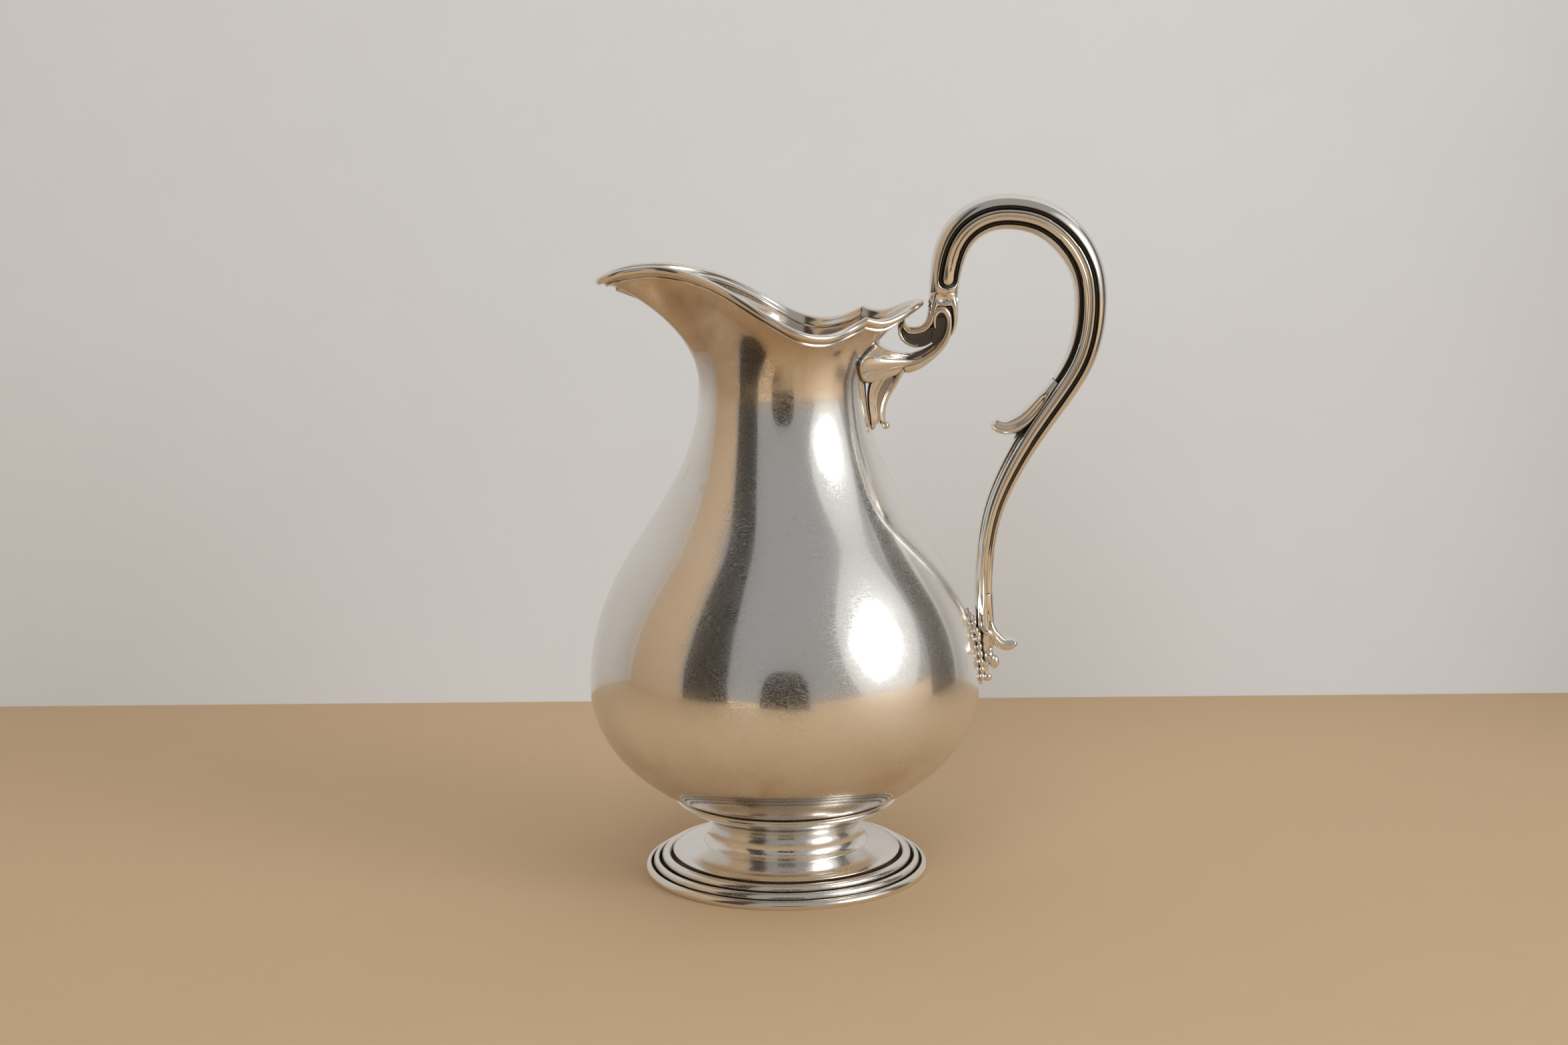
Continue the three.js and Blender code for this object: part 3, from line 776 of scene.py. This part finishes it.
def lower_spur():
    """The short leaf that curls away from the belly behind the lower socket."""
    leaf = [
        (75.2, 95, 3, 6.6),
        (76.2, 90.4, 4.2, 7.6),
        (78.3, 86.9, 5, 7.8),
        (81.3, 84.8, 5, 7.6),
        (83.8, 85.2, 4.3, 7),
        (85.0, 86.6, 3.2, 6),
    ]

    def relief(across, run):
        return -0.4 * bell(across - 0.6, 0.7) * smoothstep(run, 5, 8)

    return cast_piece("lower_spur_leaf", [bar(leaf, relief, tips=(1, 1.2))])


def almond(side, x, z, length, tilt):
    """A small pointed leaf on the side of the lower socket."""
    reach = length / 2
    run = np.array([math.cos(tilt), math.sin(tilt)])
    middles = [np.array([x, z]) + k * reach * run for k in (-1, -0.45, 0, 0.45, 1)]
    widths, depths = (0.5, 2, 2.6, 2.1, 0.5), (1, 2, 2.4, 2, 1)
    rows = [(*middle, w, d) for middle, w, d in zip(middles, widths, depths)]
    points, faces = bar(rows, spacing=0.2, around=40, tips=(0.6, 0.6))
    from_middle = 4.3
    points[:, :, 1] += from_middle * side
    return points, faces


PLATE_LOW, PLATE_HIGH = 70, 99  # the seating plate's heights on the belly
PLATE_HALF_WIDTH = 5.6
PLATE_LIFT = (-0.3, 1.1)  # its two faces, from the belly's wall


def lower_plate():
    """The seating plate: a scalloped shield bent to the belly, with beads along both edges."""
    rows, columns = 60, 24
    height = np.linspace(PLATE_LOW, PLATE_HIGH, rows)
    profile = np.concatenate([lower_belly[:-1], shoulder])
    radius = np.interp(height, profile[:, 1], profile[:, 0])
    up = np.linspace(0, 1, rows)
    half = PLATE_HALF_WIDTH * (0.25 + 0.75 * np.sin(math.pi * (0.12 + 0.7 * up)))
    share = np.linspace(-1, 1, columns)[None, :]
    scallop = 1 + 0.09 * np.sin(up * 14 * math.pi)
    y = (half * scallop)[:, None] * share
    layers = []
    for lift in PLATE_LIFT:
        r = radius[:, None] + lift
        layers.append(np.stack([np.sqrt(r * r - y * y), y, height[:, None] + 0 * y], axis=-1))
    parts = [grid(np.concatenate([layers[0], layers[1][:, ::-1]], axis=1))]
    for side in (-1, 1):
        for i in range(6, rows - 10, 6):
            r = radius[i] + 0.9
            edge = half[i] * side
            out = math.sqrt(r * r - edge * edge)
            parts.append(blob(out, edge, height[i], 1.1, 1.1, 1.5, 14))
    return cast_piece("belly_plate", parts, voxel=0.22, rounds=3)


# ---------- materials ----------


def add_node(tree, kind, **settings):
    """A node with its properties and sockets set. A socket's name has its spaces as underscores."""
    node = tree.nodes.new(kind)
    for key, value in settings.items():
        if hasattr(node, key):
            setattr(node, key, value)
        else:
            socket = node.inputs[key.replace("_", " ")]
            if isinstance(value, bpy.types.NodeSocket):
                tree.links.new(value, socket)
            else:
                socket.default_value = value
    return node


def math_node(tree, operation, a, b=0.0, clamp=False):
    """The result of one Math node, each input a socket or a number."""
    node = tree.nodes.new("ShaderNodeMath")
    node.operation, node.use_clamp = operation, clamp
    for socket, value in zip(node.inputs, (a, b)):
        if isinstance(value, bpy.types.NodeSocket):
            tree.links.new(value, socket)
        else:
            socket.default_value = value
    return node.outputs[0]


def times(tree, a, b):
    return math_node(tree, "MULTIPLY", a, b)


def stepped(tree, value, low, high, to_low=0.0, to_high=1.0):
    """A smooth change from `to_low` at `low` to `to_high` at `high`."""
    node = tree.nodes.new("ShaderNodeMapRange")
    node.interpolation_type = "SMOOTHSTEP"
    tree.links.new(value, node.inputs["Value"])
    sockets = ("From Min", "From Max", "To Min", "To Max")
    for name, number in zip(sockets, (low, high, to_low, to_high)):
        node.inputs[name].default_value = number
    return node.outputs["Result"]


def mixed(tree, share, a, b):
    """Colour `a` turned towards `b`, each a socket or a plain colour."""
    node = tree.nodes.new("ShaderNodeMix")
    node.data_type = "RGBA"
    tree.links.new(share, node.inputs["Factor"])
    color_a, color_b = node.inputs[6], node.inputs[7]
    for socket, value in zip((color_a, color_b), (a, b)):
        if isinstance(value, bpy.types.NodeSocket):
            tree.links.new(value, socket)
        else:
            socket.default_value = (*value, 1)
    return node.outputs[2]


def noise(tree, vector, scale, detail=2.0, distortion=0.0):
    node = tree.nodes.new("ShaderNodeTexNoise")
    tree.links.new(vector, node.inputs["Vector"])
    node.inputs["Scale"].default_value = scale
    node.inputs["Detail"].default_value = detail
    node.inputs["Distortion"].default_value = distortion
    return node.outputs["Fac"]


def stretched(tree, vector, turn, scale):
    """`vector` turned and scaled, so that a noise read there is drawn out into lines."""
    node = tree.nodes.new("ShaderNodeMapping")
    tree.links.new(vector, node.inputs["Vector"])
    node.inputs["Rotation"].default_value = turn
    node.inputs["Scale"].default_value = scale
    return node.outputs["Vector"]


# Colours of the metal: clean, warm where it is clouded, tarnished with a painted reflection of the
# warm floor, worn to the brass, oxidised.
SILVER = (0.88, 0.87, 0.845)
WARM_SILVER = (0.82, 0.775, 0.70)
SPOT = (0.48, 0.44, 0.39)
# Tarnish brown that also paints in the warm floor's reflection under the belly and in the throat.
TARNISH_AND_FLOOR_REFLECTION = (0.54, 0.42, 0.31)
BRASS = (0.80, 0.60, 0.33)
OXIDE = (0.092, 0.090, 0.089)
SCRATCH_TURNS = ((0.3, 0.2, 0.5), (1.1, 0.7, 2.1), (0.5, 1.3, 1.2), (1.9, 0.4, 0.9))
SCRATCH_STRETCH = (260, 8000, 8000)


def swirl_scratches(tree, place):
    """Fine lines in several directions, each gently bent, as a polishing cloth leaves them."""
    wander = tree.nodes.new("ShaderNodeTexNoise")
    tree.links.new(place, wander.inputs["Vector"])
    wander.inputs["Scale"].default_value = 35
    bent = tree.nodes.new("ShaderNodeVectorMath")
    bent.operation = "MULTIPLY_ADD"
    tree.links.new(wander.outputs["Color"], bent.inputs[0])
    bent.inputs[1].default_value = (0.02, 0.02, 0.02)
    tree.links.new(place, bent.inputs[2])
    scratches = None
    for turn in SCRATCH_TURNS:
        lines = noise(tree, stretched(tree, bent.outputs[0], turn, SCRATCH_STRETCH), 1, 1.5)
        lines = stepped(tree, lines, 0.58, 0.72)
        scratches = lines if scratches is None else math_node(tree, "MAXIMUM", scratches, lines)
    return scratches


def small_pits(tree, place):
    """Scattered patches of tiny pits."""
    cells = add_node(tree, "ShaderNodeTexVoronoi", Scale=420.0)
    tree.links.new(place, cells.inputs["Vector"])
    pitted = stepped(tree, cells.outputs["Distance"], 0.10, 0.16, 1, 0)
    patches = stepped(tree, noise(tree, place, 90, 1), 0.6, 0.66)
    return times(tree, pitted, patches)


def tarnish_and_reflection_zone(tree, place):
    """1 under the belly and more in the throat, by height in metres, and 0 elsewhere. There the
    wall faces the floor and takes smeared tarnish with a painted reflection of the warm floor.
    """
    up = add_node(tree, "ShaderNodeSeparateXYZ", Vector=place).outputs["Z"]
    above_collar = stepped(tree, up, 0.029, 0.033)
    below_belly = stepped(tree, up, 0.045, 0.07, 1, 0)
    belly = times(tree, above_collar, below_belly)
    throat = stepped(tree, up, 0.174, 0.19, 0, 1.5)
    return math_node(tree, "MAXIMUM", throat, belly)


def silver(name, polish, scoring, tarnish_and_reflection_strength, brass_share, oxide_share, least_wear=0):
    """Hand-polished plate: swirl scratches, pits, faint tarnish with a painted floor reflection,
    dark recesses and worn edges.

    `polish` is the roughness between the scratches, and `scoring` how much they add to it.
    `tarnish_and_reflection_strength` is the strength of the tarnish under the belly and in the
    throat, which also paints in a reflection of the warm floor there. The two shares are how far
    the metal turns to brass and to oxide, and `least_wear` is the wear away from the edges."""
    material = bpy.data.materials.new(name)
    material.use_nodes = True
    tree = material.node_tree
    shader = tree.nodes["Principled BSDF"]
    place = tree.nodes.new("ShaderNodeTexCoord").outputs["Object"]
    recess = add_node(tree, "ShaderNodeAttribute", attribute_name="recess").outputs["Fac"]
    edge = add_node(tree, "ShaderNodeAttribute", attribute_name="edge").outputs["Fac"]

    cloud = noise(tree, place, 22, 4)
    tint = mixed(tree, stepped(tree, cloud, 0.45, 0.75, 0, 0.5), SILVER, WARM_SILVER)
    spots = stepped(tree, noise(tree, place, 130, 3), 0.66, 0.78)
    tint = mixed(tree, times(tree, spots, 0.22), tint, SPOT)
    # Smeared tarnish under the belly and in the throat. Its warm brown is also a painted reflection
    # of the floor.
    smears = noise(tree, place, 45, 4, 0.6)
    tarnish_and_reflection_share = stepped(tree, smears, 0.25, 0.75, 0.4 * tarnish_and_reflection_strength, tarnish_and_reflection_strength)
    tarnish_and_reflection_area = tarnish_and_reflection_zone(tree, place)
    tint = mixed(tree, times(tree, tarnish_and_reflection_area, tarnish_and_reflection_share), tint, TARNISH_AND_FLOOR_REFLECTION)
    edge_wear = stepped(tree, edge, 0.2, 0.6, least_wear, 1)
    patchy = stepped(tree, noise(tree, place, 60, 3), 0.36, 0.66, 0.2, 1)
    worn = times(tree, edge_wear, patchy)
    tint = mixed(tree, times(tree, worn, brass_share), tint, BRASS)
    grime = times(tree, noise(tree, place, 300, 2), 0.16)
    dirt = math_node(tree, "ADD", recess, grime)
    dark = times(tree, stepped(tree, dirt, 0.30, 0.58), oxide_share)
    tint = mixed(tree, dark, tint, OXIDE)
    tree.links.new(tint, shader.inputs["Base Color"])

    scratches = swirl_scratches(tree, place)
    roughness = math_node(tree, "ADD", polish, times(tree, scratches, scoring))
    roughness = math_node(tree, "ADD", roughness, times(tree, cloud, 0.05))
    dark_roughness = times(tree, dark, 0.22)
    roughness = math_node(tree, "ADD", roughness, dark_roughness, clamp=True)
    tree.links.new(roughness, shader.inputs["Roughness"])
    shader.inputs["Metallic"].default_value = 1

    height = times(tree, scratches, -0.25)
    height = math_node(tree, "SUBTRACT", height, small_pits(tree, place))
    strength = 1.35 * scoring
    bump = add_node(tree, "ShaderNodeBump", Strength=strength, Distance=0.00003, Height=height)
    tree.links.new(bump.outputs["Normal"], shader.inputs["Normal"])
    return material


polished = silver(
    "polished silver", polish=0.055, scoring=0.26, tarnish_and_reflection_strength=0.62, brass_share=0.35, oxide_share=0.8
)
cast = silver(
    "cast silver", polish=0.11, scoring=0.05, tarnish_and_reflection_strength=0.1, brass_share=0.55, oxide_share=0.92
)
worn_edge = silver(
    "worn edge silver",
    polish=0.11,
    scoring=0.05,
    tarnish_and_reflection_strength=0.1,
    brass_share=0.9,
    oxide_share=0.95,
    least_wear=0.3,
)


# ---------- weathering ----------
RECESS_REACH = 3.4 * MM  # how near another surface has to be to shut a spot in
SKIN = 0.05 * MM  # how far off the surface the rays start
UNTOUCHED = ("body", "collar", "stem")  # smooth sheet, left without recesses and edges
FLAT_SCROLLS = ("upper_fork", "hooded_scroll")  # darkened wherever they sink below their faces
OFTEN_WIPED = ("lower_socket_block", "belly_plate", "lower_spur_leaf", "hanging_leaf")


def hemisphere(count):
    """Directions spread over a half sphere about +Z, closer together towards +Z."""
    k = np.arange(count) + 0.5
    z = np.sqrt(1 - k / count)
    turn = math.pi * (1 + math.sqrt(5)) * k
    flat = np.sqrt(1 - z * z)
    return np.stack([flat * np.cos(turn), flat * np.sin(turn), z], axis=1)


def shut_in(points, normals, neighbours):
    """For each point, the share of the directions above it that soon meet a neighbour."""
    directions = hemisphere(14)
    recess = np.zeros(len(points))
    for i, (p, n) in enumerate(zip(points, normals)):
        place, up = Vector(p), Vector(n)
        side = up.orthogonal().normalized()
        other = up.cross(side)
        start = place + up * SKIN
        hits = 0
        for x, y, z in directions:
            if neighbours.ray_cast(start, side * x + other * y + up * z, RECESS_REACH)[0]:
                hits += 1
        recess[i] = hits / len(directions)
    return recess


def sharpness(points, normals, edges):
    """How strongly the surface bends outwards at each point, per mm."""
    count = len(points)
    bend = np.einsum("ij,ij->i", points - mean_over_edges(points, edges, count), normals)
    spread = np.zeros(count)
    length = np.linalg.norm(points[edges[:, 0]] - points[edges[:, 1]], axis=1)
    np.add.at(spread, edges[:, 0], length)
    np.add.at(spread, edges[:, 1], length)
    spread /= np.maximum(np.bincount(edges.ravel(), minlength=count), 1)
    return bend / np.maximum(spread, 1e-9) ** 2 * MM


def weather(pieces, neighbours):
    """Writes each vertex's `recess`, how shut in it is, and `edge`, how sharply it stands out."""
    for piece in pieces:
        points, normals, edges = mesh_arrays(piece)
        recess = shut_in(points, normals, neighbours)
        sharp = sharpness(points, normals, edges)
        for _ in range(3):
            sharp = (sharp + mean_over_edges(sharp, edges, len(points))) / 2
            recess = (recess + mean_over_edges(recess, edges, len(points))) / 2
        if piece.name in FLAT_SCROLLS:
            off_plane = np.abs(points[:, 1])
            sunk = (np.percentile(off_plane, 98) - off_plane) * np.abs(normals[:, 1]) / MM
            recess = np.maximum(recess, smoothstep(sunk, 1.0, 2.2))
        if piece.name in OFTEN_WIPED or "berry" in piece.name or "gilt" in piece.name:
            recess = 0.5 * recess
        for name, values in (("recess", recess), ("edge", np.clip(2 * sharp, 0, 1))):
            made = piece.data.attributes.new(name, "FLOAT", "POINT")
            made.data.foreach_set("value", values.astype(np.float32))


# ---------- assembly ----------
made_pieces = []


def stand_for(piece, material, slot, *nodes):
    """Gives a piece its metal and lets it stand for these CAD nodes."""
    piece.data.materials.append(material)
    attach(piece, "root")
    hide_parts(*nodes)
    made_pieces.append(piece)


stand_for(body(), polished, "polished_silver", "body_shell")
stand_for(rim_moulding(), worn_edge, "worn_edge_silver", "rim_roll", "rim_bead")
stand_for(foot_collar(), polished, "polished_silver", "foot_collar")
stand_for(foot_stem(), polished, "polished_silver", "foot_stem")
stand_for(foot_dome(), polished, "polished_silver", "foot_dome")
inner_step = mesh_of("inner_step", [spun(step_outline(42.5, 46.4, 7.3, 1.0))])
stand_for(inner_step, polished, "polished_silver", "foot_step_inner")
middle_step = mesh_of("middle_step", [spun(step_outline(46.6, 49.6, 5.2, 0.9))])
stand_for(middle_step, polished, "polished_silver", "foot_step_middle")
stand_for(foot_base(), worn_edge, "worn_edge_silver", "foot_base_wire")
stand_for(grip(), cast, "cast_silver", "handle_grip")
stand_for(thumb_spur(), cast, "cast_silver", "thumb_spur")
stand_for(upper_fork(), cast, "cast_silver", "scroll_volute")
stand_for(hooded_scroll(), cast, "cast_silver", "scroll_stalk")
stand_for(neck_socket(), cast, "cast_silver", "neck_socket")
stand_for(hanging_leaf(), cast, "cast_silver", "drop_leaf")
bud = [blob(37.4, 0, 166.3, 1.5, 1.8, 1.4), blob(36.2, 0, 167.4, 1, 1.6, 1)]
stand_for(cast_piece("hanging_bud", bud), worn_edge, "worn_edge_silver", "drop_bud")
stand_for(lower_socket(), cast, "cast_silver", "lower_socket")
stand_for(lower_spur(), worn_edge, "worn_edge_silver", "lower_spur")
stand_for(lower_plate(), cast, "cast_silver", "lower_plate")
for side, word in ((-1, "front"), (1, "back")):
    leaves = [almond(side, 74.3, 90, 6.4, -0.62), almond(side * 1.1, 70.6, 88.4, 4.4, 1.1)]
    gilt = cast_piece(f"socket_leaf_{word}_gilt", leaves)
    stand_for(gilt, worn_edge, "worn_edge_silver", f"socket_leaf_{word}")
    berries = [
        blob(75, 2.7 * side, 83, 1.5, 1.5, 1.5),
        blob(76, 2.6 * side, 79.7, 1.7, 1.6, 1.6),
    ]
    upper = cast_piece(f"upper_berry_{word}", berries)
    stand_for(upper, cast, "cast_silver", f"berry_upper_{word}")
middle = [blob(77.3, 0, 78, 1.9, 2, 2.7), blob(75, 0, 80.5, 2.4, 3.4, 3)]
stand_for(cast_piece("middle_berry", middle), cast, "cast_silver", "berry_middle")
stalk = [blob(74, 0, 75.2, 1.2, 1.3, 2), blob(73.9, 0, 77.4, 1.6, 2, 2)]
stand_for(cast_piece("berry_stalk", stalk), cast, "cast_silver", "berry_stem")
tip = [blob(74.8, 0, 72.2, 1.8, 1.8, 1.7)]
stand_for(cast_piece("tip_berry", tip), worn_edge, "worn_edge_silver", "berry_tip")


def whole_tree(pieces):
    """One search tree over the faces of all the pieces."""
    points, faces, start = [], [], 0
    for piece in pieces:
        mesh = piece.data
        points += [v.co[:] for v in mesh.vertices]
        faces += [tuple(k + start for k in face.vertices) for face in mesh.polygons]
        start += len(mesh.vertices)
    return BVHTree.FromPolygons(points, faces)


weather([p for p in made_pieces if p.name not in UNTOUCHED], whole_tree(made_pieces))


# ---------- stage, lights and camera ----------
# Places are in metres from here on, and the camera's were fitted to the photograph.
CAMERA_AT = (AXIS_X + 0.15 * MM, -0.95, 0.30362)
CAMERA_PITCH = 10.3157  # degrees below level
CAMERA_ROLL = 0.5  # degrees
FOCAL_LENGTH = 60.65  # mm, on a 36 mm wide sensor
AIM_HEIGHT = 0.12  # the lights point at this height on the jug's axis
HALF_STAGE = 4.0  # half of the floor's side and of the backdrop's width
WALL_Y = 0.254  # the backdrop's place behind the jug
WALL_HEIGHT = 3


def plain(name, color, roughness, one_sided=False):
    """A plain painted surface with the faintest grain. A one-sided one is clear from behind."""
    material = bpy.data.materials.new(name)
    material.use_nodes = True
    tree = material.node_tree
    shader = tree.nodes["Principled BSDF"]
    place = tree.nodes.new("ShaderNodeTexCoord").outputs["Object"]
    low = tuple(0.97 * c for c in color)
    grain = mixed(tree, noise(tree, place, 30, 4), low, color)
    tree.links.new(grain, shader.inputs["Base Color"])
    shader.inputs["Roughness"].default_value = roughness
    shader.inputs["Specular IOR Level"].default_value = 0.2
    if one_sided:
        behind = tree.nodes.new("ShaderNodeNewGeometry").outputs["Backfacing"]
        choice = tree.nodes.new("ShaderNodeMixShader")
        clear = tree.nodes.new("ShaderNodeBsdfTransparent")
        tree.links.new(behind, choice.inputs[0])
        tree.links.new(shader.outputs[0], choice.inputs[1])
        tree.links.new(clear.outputs[0], choice.inputs[2])
        tree.links.new(choice.outputs[0], tree.nodes["Material Output"].inputs["Surface"])
    return material


def stage_plane(name, corners, material):
    """One flat face of the stage, from its corners."""
    mesh = bpy.data.meshes.new(name)
    mesh.from_pydata(corners, [], [tuple(range(len(corners)))])
    piece = bpy.data.objects.new(name, mesh)
    bpy.context.collection.objects.link(piece)
    piece.data.materials.append(material)


def area_light(name, toward, distance, height, size, power, color, mirrored=True):
    """A soft panel at a bearing to the right of the camera, seen from the jug, facing the jug.

    One that isn't `mirrored` lights the stage but leaves no shape in the metal."""
    bearing = math.radians(toward)
    lamp = bpy.data.lights.new(name, "AREA")
    lamp.shape, lamp.size, lamp.size_y = "ELLIPSE", *size
    lamp.energy, lamp.color = power, color
    light = bpy.data.objects.new(name, lamp)
    at = Vector((AXIS_X + distance * math.sin(bearing), -distance * math.cos(bearing), height))
    aim = Vector((AXIS_X, 0, AIM_HEIGHT)) - at
    light.matrix_world = Matrix.Translation(at) @ aim.to_track_quat("-Z", "Y").to_matrix().to_4x4()
    light.visible_glossy = mirrored
    bpy.context.collection.objects.link(light)


stage_plane(
    "floor",
    [(x * HALF_STAGE, y * HALF_STAGE, 0) for x, y in ((-1, -1), (1, -1), (1, 1), (-1, 1))],
    plain("pale warm floor", (0.63, 0.45, 0.275), 0.75),
)
stage_plane(
    "backdrop",
    [
        (-HALF_STAGE, WALL_Y, 0),
        (HALF_STAGE, WALL_Y, 0),
        (HALF_STAGE, WALL_Y, WALL_HEIGHT),
        (-HALF_STAGE, WALL_Y, WALL_HEIGHT),
    ],
    plain("pale backdrop", (0.80, 0.83, 0.865), 0.9, one_sided=True),
)


def card(name, left, right, distance, height, color, rounded=False):
    """An upright card in front of the jug, between two bearings to the right of the camera."""
    steps = 25
    share = np.linspace(0, 1, steps)
    top = height * np.sqrt(1 - (2 * share - 1) ** 4) if rounded else np.full(steps, height)
    corners = []
    for at, up in [(0, 0), *zip(share, top), (1, 0)]:
        angle = math.radians(left + at * (right - left))
        x, y = AXIS_X + distance * math.sin(angle), -distance * math.cos(angle)
        corners.append((x, y, float(up)))
    outline = corners[:-1] if rounded else corners
    stage_plane(name, outline, plain(name, color, 0.8, one_sided=True))


# Dark and tan shapes of the room that the jug mirrors in the photograph.
card("dark card", -60, -33, 1.5, 3.2, (0.07, 0.065, 0.06))
card("tan card", -100, -62, 1.3, 1.5, (0.72, 0.56, 0.40))
card("low card", -14, 15, 1.4, 0.42, (0.10, 0.095, 0.09), rounded=True)
card("side card", 90, 113, 0.62, 0.6, (0.20, 0.19, 0.18), rounded=True)

area_light("window", 60, 2.6, 1.05, (1.4, 1.3), 22, (1.0, 0.99, 0.97))
area_light("window glow", 63, 2.75, 1.1, (3.0, 3.2), 9, (1.0, 0.99, 0.97))
area_light("ceiling", 0, 0.4, 2.6, (4.0, 4.0), 18, (0.97, 0.98, 1.0), mirrored=False)
area_light("fill", -25, 2.6, 1.5, (3.0, 2.4), 44, (0.95, 0.98, 1.0), mirrored=False)

world = bpy.data.worlds.new("studio")
world.use_nodes = True
background = world.node_tree.nodes["Background"]
background.inputs["Color"].default_value = (1.0, 0.985, 0.96, 1)
background.inputs["Strength"].default_value = 0.33
bpy.context.scene.world = world
bpy.context.scene.view_settings.view_transform = "Standard"

camera_data = bpy.data.cameras.new("camera")
camera_data.sensor_width, camera_data.lens = 36, FOCAL_LENGTH
camera_data.sensor_fit = "HORIZONTAL"
camera_data.clip_start = 0.05
camera = bpy.data.objects.new("camera", camera_data)
camera.matrix_world = (
    Matrix.Translation(CAMERA_AT)
    @ Matrix.Rotation(math.radians(90 - CAMERA_PITCH), 4, "X")
    @ Matrix.Rotation(math.radians(-CAMERA_ROLL), 4, "Z")
)
bpy.context.collection.objects.link(camera)
bpy.context.scene.camera = camera
